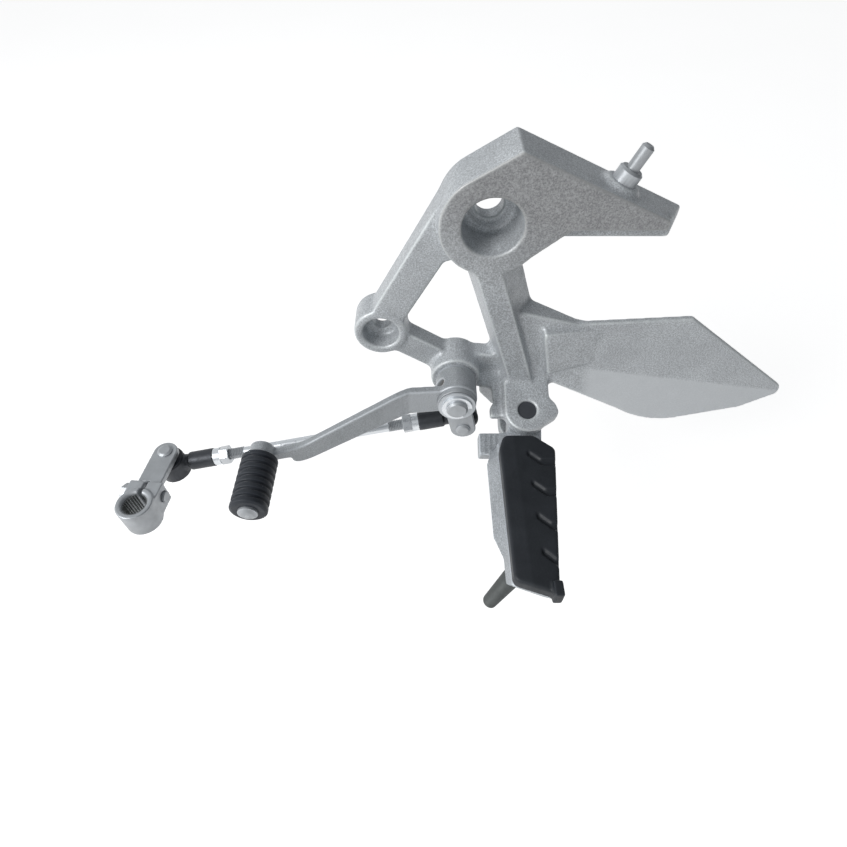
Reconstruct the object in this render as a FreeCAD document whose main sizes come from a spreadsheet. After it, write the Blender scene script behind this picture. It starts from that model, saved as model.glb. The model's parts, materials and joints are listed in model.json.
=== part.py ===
import FreeCAD, Part
import math
import os
import Sketcher
from FreeCAD import Placement, Rotation, Vector

# Left footrest hanger of a motorcycle: a cast bracket with a heel guard, a folding footpeg,
# and the gear-shift linkage (toe lever, rod with two ball joints, clamp arm).
#
# Frame: millimetres, +X towards the rear, +Y inboard, +Z up. The origin is the centre of the
# main bolt hole on the face that seats on the motorcycle's frame. "Out" is the distance
# outboard of that seat, so a point at out has y = -out.

SIZES = (
    # main eye and the plate around it
    ("face_out", 32, "seat to the plate's outer face"),
    ("plate_thick", 26, "plate thickness at its edge"),
    ("eye_radius", 25, "round end of the plate about the main hole"),
    ("bolt_hole", 14, "main bolt hole diameter"),
    ("bolt_wall", 10, "length of the main bolt hole"),
    ("counterbore", 28.5, "main counterbore diameter"),
    ("seat_boss", 34, "seating boss diameter"),
    ("crown_x", 9.3, "top corner of the plate"),
    ("crown_z", 34.5, "top corner of the plate"),
    ("tail_x", 80, "tail end, on the outer face"),
    ("tail_slope", 23.5, "fall of the tail's top edge, degrees"),
    ("tail_rake", 14, "how much further the tail reaches at the back"),
    ("tail_back_drop", 9, "underside of the tail at the back, below the hole"),
    ("tail_root_x", 36.6, "where the tail leaves the plate"),
    ("tail_under", 1.2, "underside of the tail, below the hole"),
    ("waist_x", 19.2, "plate edge below the tail"),
    ("waist_z", -15.9, "plate edge below the tail"),
    ("plate_foot", -24, "lower edge of the plate, on the spine"),
    ("tail_cheek", 8, "tail's rear block stands this far behind the outer face"),
    # cover stud on the tail
    ("stud_x", 57, "cover stud along the tail"),
    ("stud_out", 19, "cover stud, out from the seat"),
    ("stud_pad", 17, "cast pad under the stud, diameter"),
    ("stud_pad_high", 2.5, "height of that pad"),
    ("stud_collar", 11.5, "collar diameter"),
    ("stud_collar_high", 6, "collar height"),
    ("stud_pin", 6, "stud diameter"),
    ("stud_long", 11, "stud length past its collar"),
    ("stud_root", 8, "threaded root in the casting"),
    # front arm and its boss
    ("boss_x", -55.5, "front boss"),
    ("boss_z", -68.8, "front boss"),
    ("boss_diameter", 30, "front boss"),
    ("boss_out", 24, "front boss face"),
    ("boss_long", 19, "front boss length"),
    ("boss_counterbore", 20, "front counterbore diameter"),
    ("boss_hole", 10.5, "front bolt hole diameter"),
    ("boss_wall", 8, "length of the front bolt hole"),
    ("arm_edge", 10.5, "front arm's front edge, from the boss"),
    ("arm_wide", 18, "front arm width"),
    ("arm_out", 23, "front arm face"),
    ("arm_deep", 15, "front arm depth"),
    ("arm_wall", 4.5, "walls of the channel behind the arm"),
    ("channel_long", 40, "length of that channel"),
    ("crotch_arm_x", -23, "rounded corner between arm and spine, on the arm"),
    ("crotch_arm_z", -25, "rounded corner between arm and spine, on the arm"),
    ("crotch_spine_x", -8, "rounded corner between arm and spine, on the spine"),
    ("crotch_spine_z", -32, "rounded corner between arm and spine, on the spine"),
    ("crotch_round", 9, "radius of that corner"),
    ("rim_chamfer", 0.8, "machined edge of the bosses"),
    ("end_bevel", 1, "bevelled ends of pins and studs"),
    # spine
    ("spine_top", -20, "spine's upper end"),
    ("spine_deep", 22, "spine depth"),
    ("spine_foot", 7.7, "front face, left edge at the lower end, before the pin"),
    ("spine_left", -7.6, "front face, left edge at the upper end"),
    ("spine_wide", 13.2, "front face width"),
    ("spine_draft_left", 6.5, "left side, front to back"),
    ("spine_draft_right", 11, "right side, front to back"),
    # lever pivot boss, strut and web
    ("pivot_x", -12.8, "lever pivot"),
    ("pivot_z", -96, "lever pivot"),
    ("pivot_boss", 28.6, "pivot boss diameter"),
    ("pivot_boss_long", 21, "pivot boss length"),
    ("strut_wide", 15, "strut between the bosses"),
    ("strut_out", 23, "strut face"),
    ("strut_deep", 12, "strut depth"),
    ("web_out", 22, "web face beside the pivot boss"),
    ("web_deep", 11, "web thickness"),
    ("web_rise", 8, "web's upper edge at the spine, above the pivot"),
    ("web_bite", 3, "how far the web runs into what it joins"),
    # footpeg fork
    ("pin_x", 29, "footpeg pin at the top of the fork"),
    ("pin_out", 48, "footpeg pin"),
    ("pin_z", -105.4, "footpeg pin at the top of the fork"),
    ("pin_lean", 22, "footpeg pin's upper end leans outboard, degrees"),
    ("pin_diameter", 8, "footpeg pin"),
    ("ear_thick", 8, "fork ears"),
    ("fork_gap", 18, "between the fork ears"),
    ("ear_half", 13.3, "half width of the fork, and its round end"),
    ("ear_back", 26, "fork, from the pin to its inner edge"),
    ("fork_bay", 13, "clear depth of the fork behind the pin"),
    ("horn_foot_x", 4, "rear horn's outer edge, behind the pin"),
    ("horn_foot", 12.5, "rear horn's outer edge, out from the pin"),
    ("horn_low_x", 16.8, "rear horn's outer corner, behind the pin"),
    ("horn_low", 4.6, "rear horn's outer corner, out from the pin"),
    ("horn_reach", 18.5, "tip of the rear horn, behind the pin"),
    ("horn_out", 0.8, "tip of the rear horn, out from the pin"),
    ("horn_back", 4, "rear horn's inner corner, inboard of the pin"),
    ("ear_waist_x", 5, "rear horn's root, behind the pin"),
    ("ear_waist", 17, "rear horn's root, inboard of the pin"),
    ("wing_reach", 21.5, "front shoulder of the fork"),
    ("wing_step", 3, "front shoulder below the ear"),
    ("wing_back", 14, "inner end of the shoulder, inboard of the pin"),
    ("wing_end", 2.5, "outer end of the shoulder, inboard of the pin"),
    ("wing_tip", 3.5, "outer corner of the shoulder, out from the pin"),
    ("wing_root", 7.5, "where the shoulder meets the ear, before the pin"),
    ("running_gap", 0.05, "radial clearance of pins and balls"),
    ("side_gap", 0.4, "clearance at the side of a moving piece"),
    # heel guard
    ("guard_out", 27, "heel guard's outer face"),
    ("guard_thick", 4, "heel guard"),
    ("guard_root_x", 17.5, "root of the guard, inside the spine"),
    ("guard_rise", 9, "top edge rises to the root"),
    ("guard_foot_x", 34, "lower edge leaves the spine"),
    ("guard_lead_x", 89, "lower edge before its lowest stretch"),
    ("guard_lead_z", -122, "lower edge before its lowest stretch"),
    ("guard_belly_radius", 60, "round of the lowest stretch"),
    ("guard_heel_x", 166, "lower edge near the tip"),
    ("guard_heel_z", -123, "lower edge near the tip"),
    ("guard_tip_radius", 6, "round of the tip"),
    ("guard_neck_z", -59.8, "top edge at the neck"),
    ("guard_neck_x", 52.4, "neck"),
    ("guard_corner_x", 114.1, "top corner"),
    ("guard_corner_z", -56, "top corner"),
    ("guard_tip_x", 186, "tip"),
    ("guard_tip_z", -111, "tip"),
    ("guard_belly_x", 126, "lowest stretch"),
    ("guard_belly_z", -130, "lowest stretch"),
    ("guard_root_low", -97, "lower edge at the root"),
    ("guard_crease_x", 62, "inner end of the crease"),
    ("guard_crease_z", -92, "inner end of the crease"),
    ("guard_flare", 14, "outward turn below the crease, degrees"),
    ("guard_reach", 45, "half depth of the block the guard is cut from"),
    ("guard_span", 180, "height of that block above and below the crease"),
    ("guard_root_thick", 14, "guard where it leaves the spine"),
    ("guard_swell_x", 30, "start of the thick root"),
    ("guard_slim_x", 58, "end of the thick root"),
    # lever pivot pin and what sits on it
    ("axle_diameter", 12, "lever pivot pin"),
    ("axle_head", 18, "head of the pin"),
    ("axle_head_thick", 3, "head of the pin"),
    ("axle_end", 58, "outer end of the pin"),
    ("thrust_thick", 1, "washer between boss and lever"),
    ("thrust_diameter", 22, "washer between boss and lever"),
    ("washer_thick", 1.2, "washer under the circlip"),
    ("washer_diameter", 21, "washer under the circlip"),
    ("clip_thick", 1.2, "circlip"),
    ("clip_diameter", 17, "circlip"),
    ("clip_groove", 1, "depth of the circlip's groove"),
    ("clip_open", 60, "circlip opening, degrees"),
    # shift lever
    ("hub_diameter", 23.5, "lever hub"),
    ("hub_out", 50, "outer end of the hub"),
    ("bush_wall", 1.5, "hub bush wall"),
    ("bush_long", 7.5, "hub bush"),
    ("bar_thick", 5, "lever bar"),
    ("bar_top", 8.5, "bar's upper edge at the hub, above the pivot"),
    ("bar_low", 8, "bar's lower edge at the hub, below the pivot"),
    ("bar_bend_x", -40, "where the bar turns outwards"),
    ("bend_x", -44, "upper edge's first bend"),
    ("bend_rise", 6, "upper edge's first bend, above the pivot"),
    ("knee_x", -101, "upper edge's second bend"),
    ("knee_drop", 16, "upper edge's second bend, below the pivot"),
    ("belly_x", -42, "lower edge's first bend"),
    ("belly_drop", 11.5, "lower edge's first bend, below the pivot"),
    ("heel_x", -98, "lower edge's second bend"),
    ("heel_drop", 28.6, "lower edge's second bend, below the pivot"),
    ("heel_end_x", -107, "end of the bar's full height"),
    ("toe_neck_drop", 23, "lower edge beside the toe boss, below the pivot"),
    ("bend_round", 40, "round of the bar's first bends"),
    ("knee_round", 22, "round of the bar's second bends"),
    ("heel_round", 4, "round of the bar's lower corner"),
    ("toe_x", -122.5, "toe peg"),
    ("toe_drop", 17, "toe peg below the pivot"),
    ("toe_root", 78, "toe boss face"),
    ("toe_boss", 14, "toe boss diameter"),
    ("toe_boss_long", 8, "toe boss length"),
    ("toe_spindle", 8, "toe spindle diameter"),
    ("toe_diameter", 20, "toe rubber"),
    ("toe_long", 34, "toe rubber"),
    ("toe_groove", 1.3, "depth between the rubber's rings"),
    ("ring_wide", 2.3, "crest of a ring"),
    ("ring_slope", 0.5, "side of a ring, along the peg"),
    ("toe_dome", 10.5, "spindle head diameter"),
    ("toe_dome_high", 3, "spindle head"),
    ("toe_tail", 10, "riveted tail of the spindle, diameter"),
    ("toe_bevel", 1.5, "bevelled ends of the toe rubber"),
    ("toe_rim", 1.2, "straight side of the spindle head"),
    ("toe_shoulder", 6.3, "spindle head where its crown flattens, diameter"),
    ("toe_crown", 0.5, "rise of that flat crown"),
    ("tab_thick", 3, "linkage tab"),
    ("tab_ring", 22, "linkage tab around the pivot"),
    ("tab_wide", 14.8, "linkage tab"),
    ("tab_reach", 21.8, "pivot to ball stud"),
    ("tab_swing", 12.4, "tab from straight down, degrees"),
    # ball joints and rod
    ("ball_diameter", 10, "ball"),
    ("ball_neck", 5, "ball stud neck"),
    ("ball_shank", 6, "riveted shank"),
    ("rivet_diameter", 8.4, "riveted head"),
    ("rivet_high", 1.5, "riveted head"),
    ("rivet_bevel", 1.2, "riveted head's bevel"),
    ("collar_thick", 1.5, "ball stud's collar against its plate"),
    ("rear_neck", 9, "tab to ball centre"),
    ("front_neck", 9, "arm blade to ball centre"),
    ("socket_diameter", 18, "rod end housing"),
    ("socket_back", 7, "rod end housing, closed side from the ball centre"),
    ("socket_face", 5, "rod end housing, open side from the ball centre"),
    ("socket_floor", 1.5, "closed side of the housing"),
    ("seat_diameter", 14, "ball seat"),
    ("seat_mouth", 3, "ball seat's open edge, past the ball centre"),
    ("shank_diameter", 9.5, "rod end shank"),
    ("shank_long", 27, "ball centre to the end of the shank"),
    ("sleeve_diameter", 11.2, "thicker sleeve of the shank"),
    ("sleeve_start", 12, "ball centre to the start of that sleeve"),
    ("ferrule_diameter", 10.6, "steel ferrule"),
    ("ferrule_long", 4, "steel ferrule"),
    ("nut_flats", 10, "jam nut across flats"),
    ("nut_thick", 5.5, "jam nut"),
    ("rod_diameter", 6, "rod"),
    ("rod_inset", 12, "rod end from the ball centre"),
    ("boot_wall", 0.8, "dust boot"),
    ("boot_base", 8.8, "dust boot's outer radius on the housing"),
    ("boot_waist", 7.2, "dust boot's outer radius at its fold"),
    ("boot_mouth", 6.9, "dust boot's outer radius at its open end"),
    ("boot_gap", 1.3, "dust boot to the plate beyond"),
    ("boot_foot", 0.95, "straight foot of the dust boot"),
    ("boot_fold", 1.62, "dust boot's fold, above the housing"),
    ("ball_front_x", -185.6, "front ball centre"),
    ("ball_front_out", 62, "front ball centre"),
    ("ball_front_z", -140.2, "front ball centre"),
    # shift arm
    ("arm_turn", -6.5, "shift arm from straight out, degrees"),
    ("arm_reach", 38.5, "ball stud to shaft"),
    ("blade_wide", 14, "blade"),
    ("blade_thick", 4, "blade"),
    ("clamp_diameter", 20, "clamp hub"),
    ("clamp_high", 18, "clamp hub"),
    ("clamp_rise", 4, "clamp hub above the blade"),
    ("shaft_bore", 13, "splined shaft bore"),
    ("clamp_slit", 2, "clamp slit"),
    ("ear_wide", 19, "clamp ears"),
    ("ear_long", 15.5, "shaft to the end of the ears"),
    ("pinch_offset", 11, "shaft to pinch bolt"),
    ("pinch_diameter", 6, "pinch bolt"),
    ("pinch_flats", 10, "pinch bolt head"),
    ("pinch_head", 4.5, "pinch bolt head"),
    ("pinch_tail", 1.5, "pinch bolt past the far ear"),
    ("bolt_play", 0.4, "clearance around a bolt in its hole"),
    ("ear_drop", 3, "clamp ears shorter than the hub"),
    ("ear_gap", 1.4, "gap that frees the clamp's front ear from the blade"),
    ("blade_bite", 2, "how far the blade runs into the ears"),
    ("bore_chamfer", 1.2, "clamp bore lead-in"),
    # footpeg, measured from its pin
    ("peg_front", 18.8, "pad's front edge"),
    ("peg_rear", 12, "pad's rear edge at its root"),
    ("peg_root", 18.6, "pad's inner end"),
    ("peg_nose", 1, "rear end of the pad's inner edge"),
    ("peg_shoulder", 28, "where the pad has its full width"),
    ("peg_long", 111.5, "pad's outer end at its rear edge"),
    ("peg_skew", 7, "slant of the outer end"),
    ("peg_taper", 10.5, "how much the rear edge runs in"),
    ("peg_bevel", 3, "how much the front corner at the root is cut back"),
    ("pad_thick", 7, "rubber pad"),
    ("pad_round", 4, "rounded corners of the pad"),
    ("pad_edge", 1.4, "rounded top edge of the pad"),
    ("tread_groove", 1.5, "tread groove depth"),
    ("tread_wide", 4, "tread groove width"),
    ("tread_pitch", 19.5, "tread groove spacing"),
    ("tread_start", 29, "first tread groove"),
    ("tread_slope", 6.5, "how far a groove runs outwards before it turns to the edge"),
    ("tread_inner", 4, "inner end of the grooves, before the pin"),
    ("tread_turn", 3, "where a groove turns to the edge, behind the pin"),
    ("lip_high", 2.5, "raised end stop of the pad"),
    ("lip_wide", 4.5, "raised end stop of the pad"),
    ("lip_long", 7.5, "raised end stop of the pad"),
    ("lip_over", 1.5, "how far the end stop stands past the pad's corner"),
    ("deck_thick", 4, "peg casting deck"),
    ("peg_deep", 10, "peg casting depth"),
    ("peg_flange", 6.2, "front flank stands out at the bottom"),
    ("peg_tuck", 3.5, "rear flank runs in at the bottom"),
    ("peg_end_tuck", 5.5, "outer end runs in at the bottom"),
    ("notch_start", 74, "front flank steps in, out from the pin"),
    ("notch_end", 86, "end of that step"),
    ("notch_deep", 4.5, "depth of that step at the bottom"),
    ("hollow_wide", 14, "hollow around a pad bolt"),
    ("hollow_long", 23, "hollow around a pad bolt"),
    ("root_deep", 21, "root block depth"),
    ("root_wall", 3, "wall between the root block and the inner hollow"),
    ("flute_front", 28, "fluted shoulder's front edge"),
    ("flute_rear", 10, "fluted shoulder's rear edge"),
    ("flute_inner", 11.5, "fluted shoulder's inner end"),
    ("flute_outer", 25, "fluted shoulder's outer end"),
    ("flute_deep", 11, "fluted shoulder depth"),
    ("flute_pitch", 3.2, "flute spacing"),
    ("flute_wide", 1.8, "flute diameter"),
    ("neck_front", 12, "neck's front edge"),
    ("neck_rear", 8, "neck's rear edge"),
    ("barrel_diameter", 20, "peg barrel around the pin"),
    ("spring_high", 6.2, "room for the return spring"),
    ("coil_wire", 1.5, "return spring wire"),
    ("coil_radius", 6.2, "return spring, mean"),
    ("coil_turns", 2.5, "return spring"),
    ("coil_pitch", 1.6, "return spring"),
    ("coil_leg", 10, "return spring leg"),
    ("pin_head", 11, "footpeg pin head"),
    ("pin_head_thick", 3, "footpeg pin head"),
    ("pin_recess", 4.5, "recess for the pin head"),
    ("pin_tail", 5, "footpeg pin below the fork"),
    ("pin_washer", 15, "footpeg pin washer"),
    ("cotter", 2, "split pin"),
    # bank feeler and pad bolts
    ("feeler_x", 14.5, "bank feeler, before the pin"),
    ("feeler_inset", 18.5, "bank feeler, from the pad's outer end"),
    ("feeler_long", 19, "bank feeler"),
    ("feeler_lean", 13, "how far its tip stands forwards"),
    ("feeler_splay", 8, "how far its tip stands outwards"),
    ("feeler_wide", 10.5, "bank feeler at its root"),
    ("feeler_tip", 7.5, "bank feeler at its tip"),
    ("feeler_round", 1.5, "rounded tip"),
    ("feeler_stud", 6, "screwed root, diameter"),
    ("feeler_stud_long", 7, "screwed root"),
    ("pad_bolt", 6, "pad bolt"),
    ("pad_bolt_flats", 10, "pad bolt head"),
    ("pad_bolt_head", 3.5, "pad bolt head"),
    ("pad_bolt_long", 8.5, "pad bolt"),
    ("pad_bolt_inner", 45, "inner pad bolt, out from the pin"),
    ("pad_bolt_outer", 76, "outer pad bolt, out from the pin"),
    ("pad_bolt_x", 10.5, "pad bolts, before the pin"),
)

doc = FreeCAD.newDocument("footrest_hanger")
sheet = doc.addObject("Spreadsheet::Sheet", "size")
for row, (alias, number, meaning) in enumerate(SIZES, start=1):
    sheet.set(f"A{row}", meaning)
    sheet.set(f"B{row}", str(number))
    sheet.setAlias(f"B{row}", alias)
doc.recompute()

OUTBOARD = Rotation(Vector(1, 0, 0), 90)
TOE_RINGS = 8
TREADS = 4
FLUTES = 4
PIECES = (
    "hanger_casting",
    "cover_stud",
    "lever_pivot_pin",
    "thrust_washer",
    "pivot_washer",
    "pivot_circlip",
    "footpeg_pin",
    "footpeg_pin_washer",
    "footpeg_split_pin",
    "return_spring",
    "shift_lever",
    "inner_hub_bush",
    "outer_hub_bush",
    "linkage_tab",
    "rear_ball_stud",
    "toe_spindle",
    "toe_rubber",
    "shift_rod",
    "rear_rod_end",
    "rear_ball_seat",
    "rear_dust_boot",
    "rear_ferrule",
    "rear_jam_nut",
    "front_rod_end",
    "front_ball_seat",
    "front_dust_boot",
    "front_ferrule",
    "front_jam_nut",
    "shift_arm",
    "front_ball_stud",
    "pinch_bolt",
    "footpeg_casting",
    "footpeg_rubber",
    "pad_bolts",
    "bank_feeler",
)


def value(expression):
    """Number that an expression on the sheet stands for."""
    result = sheet.evalExpression(expression.replace("size.", ""))
    return float(getattr(result, "Value", result))


def bind(target, **expressions):
    """Bind properties to sheet expressions; a double underscore stands for a dot."""
    for path, expression in expressions.items():
        target.setExpression(path.replace("__", "."), expression)


def new_body(label, x="0", y="0", z="0", turn=None):
    """A body placed by three sheet expressions and an optional rotation."""
    made = doc.addObject("PartDesign::Body", label)
    made.Label = label
    made.Placement = Placement(Vector(value(x), value(y), value(z)), turn or Rotation())
    bind(made, Placement__Base__x=x, Placement__Base__y=y, Placement__Base__z=z)
    return made


def new_sketch(owner, role, name, x="0", y="0", z="0", axis=Vector(0, 0, 1), angle="0"):
    """A sketch on an origin plane, moved along that plane's own axes and turned."""
    sketch = owner.newObject("Sketcher::SketchObject", name)
    plane = next(f for f in owner.Origin.OriginFeatures if f.Role == role)
    sketch.AttachmentSupport = [(plane, "")]
    sketch.MapMode = "FlatFace"
    base = Vector(value(x), value(y), value(z))
    sketch.AttachmentOffset = Placement(base, Rotation(axis, value(angle)))
    bind(sketch, AttachmentOffset__Base__x=x, AttachmentOffset__Base__y=y, AttachmentOffset__Base__z=z)
    if angle != "0":
        bind(sketch, AttachmentOffset__Rotation__Angle=angle)
    return sketch


def locate(sketch, geometry, point, x, y):
    """Tie a point of the sketch to two sheet expressions."""
    for kind, expression in (("DistanceX", x), ("DistanceY", y)):
        index = sketch.addConstraint(
            Sketcher.Constraint(kind, -1, 1, geometry, point, value(expression))
        )
        sketch.setExpression(f"Constraints[{index}]", expression)


def add_outline(sketch, corners):
    """Closed outline. A corner is (x, y), or (x, y, radius, side) for an arc that ends there."""
    points = [Vector(value(c[0]), value(c[1]), 0) for c in corners]
    count = len(corners)
    first = sketch.GeometryCount
    for i, corner in enumerate(corners):
        start, end = points[i - 1], points[i]
        if len(corner) == 2:
            sketch.addGeometry(Part.LineSegment(start, end))
            continue
        radius, side = value(corner[2]), corner[3]
        half = (end - start) / 2
        sagitta = radius - math.sqrt(max(radius**2 - half.Length**2, 0))
        normal = Vector(-half.y, half.x, 0).normalize() * side
        sketch.addGeometry(Part.Arc(start, start + half + normal * sagitta, end))
    # the sketch counts an arc's ends anticlockwise, so one that bulges to the left is reversed
    ends = [(2, 1) if len(corner) == 4 and corner[3] > 0 else (1, 2) for corner in corners]
    for i, corner in enumerate(corners):
        geometry = first + i
        following = (i + 1) % count
        sketch.addConstraint(
            Sketcher.Constraint("Coincident", geometry, ends[i][1], first + following, ends[following][0])
        )
        locate(sketch, geometry, ends[i][1], corner[0], corner[1])
        if len(corner) == 4:
            index = sketch.addConstraint(Sketcher.Constraint("Radius", geometry, value(corner[2])))
            sketch.setExpression(f"Constraints[{index}]", corner[2])


def add_circle(sketch, x, y, diameter):
    """Circle with its centre and diameter bound to the sheet."""
    centre = Vector(value(x), value(y), 0)
    index = sketch.addGeometry(Part.Circle(centre, Vector(0, 0, 1), value(diameter) / 2))
    locate(sketch, index, 3, x, y)
    constraint = sketch.addConstraint(Sketcher.Constraint("Diameter", index, value(diameter)))
    sketch.setExpression(f"Constraints[{constraint}]", diameter)


def add_hexagon(sketch, flats):
    """Hexagon about the sketch's origin, given across its flats."""
    corners = []
    for i in range(6):
        corners.append((f"{flats} / sqrt(3) * cos({60 * i})", f"{flats} / sqrt(3) * sin({60 * i})"))
    add_outline(sketch, corners)


def extrude(owner, sketch, length, away=False, cut=False):
    """Pad or pocket a sketch; away runs it against the sketch's normal for a pad."""
    kind = "Pocket" if cut else "Pad"
    before = owner.Shape.Volume if owner.Shape.Solids else 0.0
    feature = owner.newObject(f"PartDesign::{kind}", f"{sketch.Name}_{kind.lower()}")
    feature.Profile = sketch
    feature.Reversed = away
    bind(feature, Length=length)
    doc.recompute()
    change = feature.Shape.Volume - before
    if change * (-1 if cut else 1) < 1e-3:
        raise RuntimeError(f"{feature.Name} changes nothing")
    return feature


def loft(owner, sections, ruled=True):
    """Additive loft through sketches."""
    feature = owner.newObject("PartDesign::AdditiveLoft", f"{sections[0].Name}_loft")
    feature.Profile = sections[0]
    feature.Sections = sections[1:]
    feature.Ruled = ruled
    doc.recompute()
    return feature


def turned(label, profile, x="0", y="0", z="0", turn=None, angle=360):
    """A turned piece: a profile of (radius, height) corners spun about its own Z axis."""
    made = new_body(label, x, y, z, turn)
    sketch = new_sketch(made, "XZ_Plane", f"{label}_profile")
    add_outline(sketch, profile)
    spin = made.newObject("PartDesign::Revolution", f"{label}_spin")
    spin.Profile = sketch
    spin.ReferenceAxis = (sketch, ["V_Axis"])
    spin.Angle = angle
    doc.recompute()
    return made


def ring(inner, outer, low, high):
    """Profile of a plain ring; inner and outer are radii."""
    return [(inner, low), (outer, low), (outer, high), (inner, high)]


def is_upright(edge):
    """Whether an edge is a straight vertical one."""
    return isinstance(edge.Curve, Part.Line) and abs(edge.tangentAt(edge.FirstParameter).z) > 0.999


def is_level(edge, height):
    """Whether an edge lies in the horizontal plane at this height."""
    return all(abs(vertex.Z - height) < 1e-4 for vertex in edge.Vertexes)


def on_circle(edge, x, y, z, radius):
    """Whether an edge is part of a circle about this centre."""
    curve = edge.Curve
    if not isinstance(curve, Part.Circle):
        return False
    return abs(curve.Radius - radius) < 1e-3 and curve.Center.isEqual(Vector(x, y, z), 1e-3)


def dress(owner, kind, name, test, size):
    """Fillet or chamfer every edge of the body that passes the test."""
    base = owner.Tip
    names = [f"Edge{i}" for i, e in enumerate(base.Shape.Edges, start=1) if test(e)]
    feature = owner.newObject(f"PartDesign::{kind}", name)
    feature.Base = (base, names)
    bind(feature, **{"Radius" if kind == "Fillet" else "Size": size})
    doc.recompute()
    return feature


def is_circle(edge, x, y, z, radius):
    """Whether an edge is a whole circle of this radius about this centre."""
    curve = edge.Curve
    if not isinstance(curve, Part.Circle) or not edge.Closed:
        return False
    return abs(curve.Radius - radius) < 1e-3 and curve.Center.isEqual(Vector(x, y, z), 1e-3)


# The fork's own frame: origin on the pin at the fork's upper face, Z along the pin.
FORK = dict(
    x="size.pin_x",
    y="-size.pin_out",
    z="size.pin_z",
    axis=Vector(1, 0, 0),
    angle="size.pin_lean",
)
FORK_HIGH = "(2 * size.ear_thick + size.fork_gap)"
PLATE_BACK = "(size.face_out - size.plate_thick)"
TAIL_TOP = "(size.crown_z - ({x} - size.crown_x) * tan(size.tail_slope))"
STUD_TOP = (
    "size.stud_x + size.stud_pad_high * sin(size.tail_slope)",
    "-size.stud_out",
    TAIL_TOP.format(x="size.stud_x") + " + size.stud_pad_high * cos(size.tail_slope)",
)
TAB_FACE = "(size.hub_out + size.tab_thick)"
HUB_BACK = "(size.face_out + size.thrust_thick + size.side_gap / 2)"
TOE_Z = "(size.pivot_z - size.toe_drop)"
REAR_BALL = (
    "size.pivot_x + size.tab_reach * sin(size.tab_swing)",
    "-(size.hub_out - size.rear_neck)",
    "size.pivot_z - size.tab_reach * cos(size.tab_swing)",
)
FRONT_BALL = ("size.ball_front_x", "-size.ball_front_out", "size.ball_front_z")


def fork_sketch(owner, name, depth):
    """A sketch across the footpeg pin, depth below the fork's upper face."""
    frame = dict(FORK)
    frame["y"] = f"({depth}) * sin(size.pin_lean) - size.pin_out"
    frame["z"] = f"size.pin_z - ({depth}) * cos(size.pin_lean)"
    return new_sketch(owner, "XY_Plane", name, **frame)


def add_bar(owner, name, x, z, lean, start, length, width, face, depth):
    """Straight bar on the outer side of the casting, along a line that leans from vertical."""
    sketch = new_sketch(owner, "XZ_Plane", name, x, z, face, angle=f"-({lean})")
    half = f"{width} / 2"
    end = f"{start} + {length}"
    add_outline(sketch, [(f"-{half}", start), (half, start), (half, end), (f"-{half}", end)])
    return extrude(owner, sketch, depth, away=True)


def add_boss(owner, name, x, z, diameter, face, length):
    """Round boss, from its outer face inboard."""
    sketch = new_sketch(owner, "XZ_Plane", name, x, z, face)
    add_circle(sketch, "0", "0", diameter)
    return extrude(owner, sketch, length, away=True)


def cut_hole(owner, name, x, z, diameter, face, depth):
    """Round hole, from its outer mouth inboard."""
    sketch = new_sketch(owner, "XZ_Plane", name, x, z, face)
    add_circle(sketch, "0", "0", diameter)
    return extrude(owner, sketch, depth, cut=True)


def add_plate(owner):
    """Upper plate: round eye, pointed crown and the tail that runs to the rear."""
    add_boss(owner, "eye", "0", "0", "2 * size.eye_radius", "size.face_out", "size.plate_thick")
    touch = (
        "(atan2(size.crown_z; size.crown_x)"
        " + acos(size.eye_radius / sqrt(size.crown_x^2 + size.crown_z^2)))"
    )
    plate = new_sketch(owner, "XZ_Plane", "plate", z="size.face_out")
    add_outline(
        plate,
        [
            ("size.crown_x", "size.crown_z"),
            ("size.tail_x", TAIL_TOP.format(x="size.tail_x")),
            ("size.tail_x", "-size.tail_under"),
            ("size.tail_root_x", "-size.tail_under"),
            ("size.waist_x", "size.waist_z"),
            ("size.spine_left + size.spine_wide", "size.plate_foot"),
            ("size.spine_left", "size.plate_foot"),
            (f"size.eye_radius * cos{touch}", f"size.eye_radius * sin{touch}"),
        ],
    )
    extrude(owner, plate, "size.plate_thick", away=True)
    tail = new_sketch(owner, "XZ_Plane", "tail", z=f"{PLATE_BACK}")
    far = "(size.tail_x + size.tail_rake)"
    beyond = f"({far} + size.tail_rake)"
    add_outline(
        tail,
        [
            ("size.crown_x", "size.crown_z"),
            (far, TAIL_TOP.format(x=far)),
            (far, "-size.tail_back_drop"),
            ("size.waist_x", "-size.tail_back_drop"),
        ],
    )
    extrude(owner, tail, "size.plate_thick - size.tail_cheek")
    rake = new_sketch(owner, "XY_Plane", "rake", z="size.crown_z")
    add_outline(
        rake,
        [
            ("size.tail_x", "-size.face_out"),
            (beyond, "-size.face_out"),
            (beyond, f"-{PLATE_BACK}"),
            (far, f"-{PLATE_BACK}"),
        ],
    )
    extrude(owner, rake, "2 * size.crown_z", cut=True)
    add_boss(owner, "seat", "0", "0", "size.seat_boss", PLATE_BACK, PLATE_BACK)


def add_stud_pad(owner):
    """Cast pad under the cover stud, square to the tail's top edge."""
    top = TAIL_TOP.format(x="size.stud_x")
    pad = new_sketch(
        owner, "XY_Plane", "stud_pad", "size.stud_x", "-size.stud_out", top,
        Vector(0, 1, 0), "size.tail_slope",
    )
    add_circle(pad, "0", "0", "size.stud_pad")
    extrude(owner, pad, "size.stud_pad_high")


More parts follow.
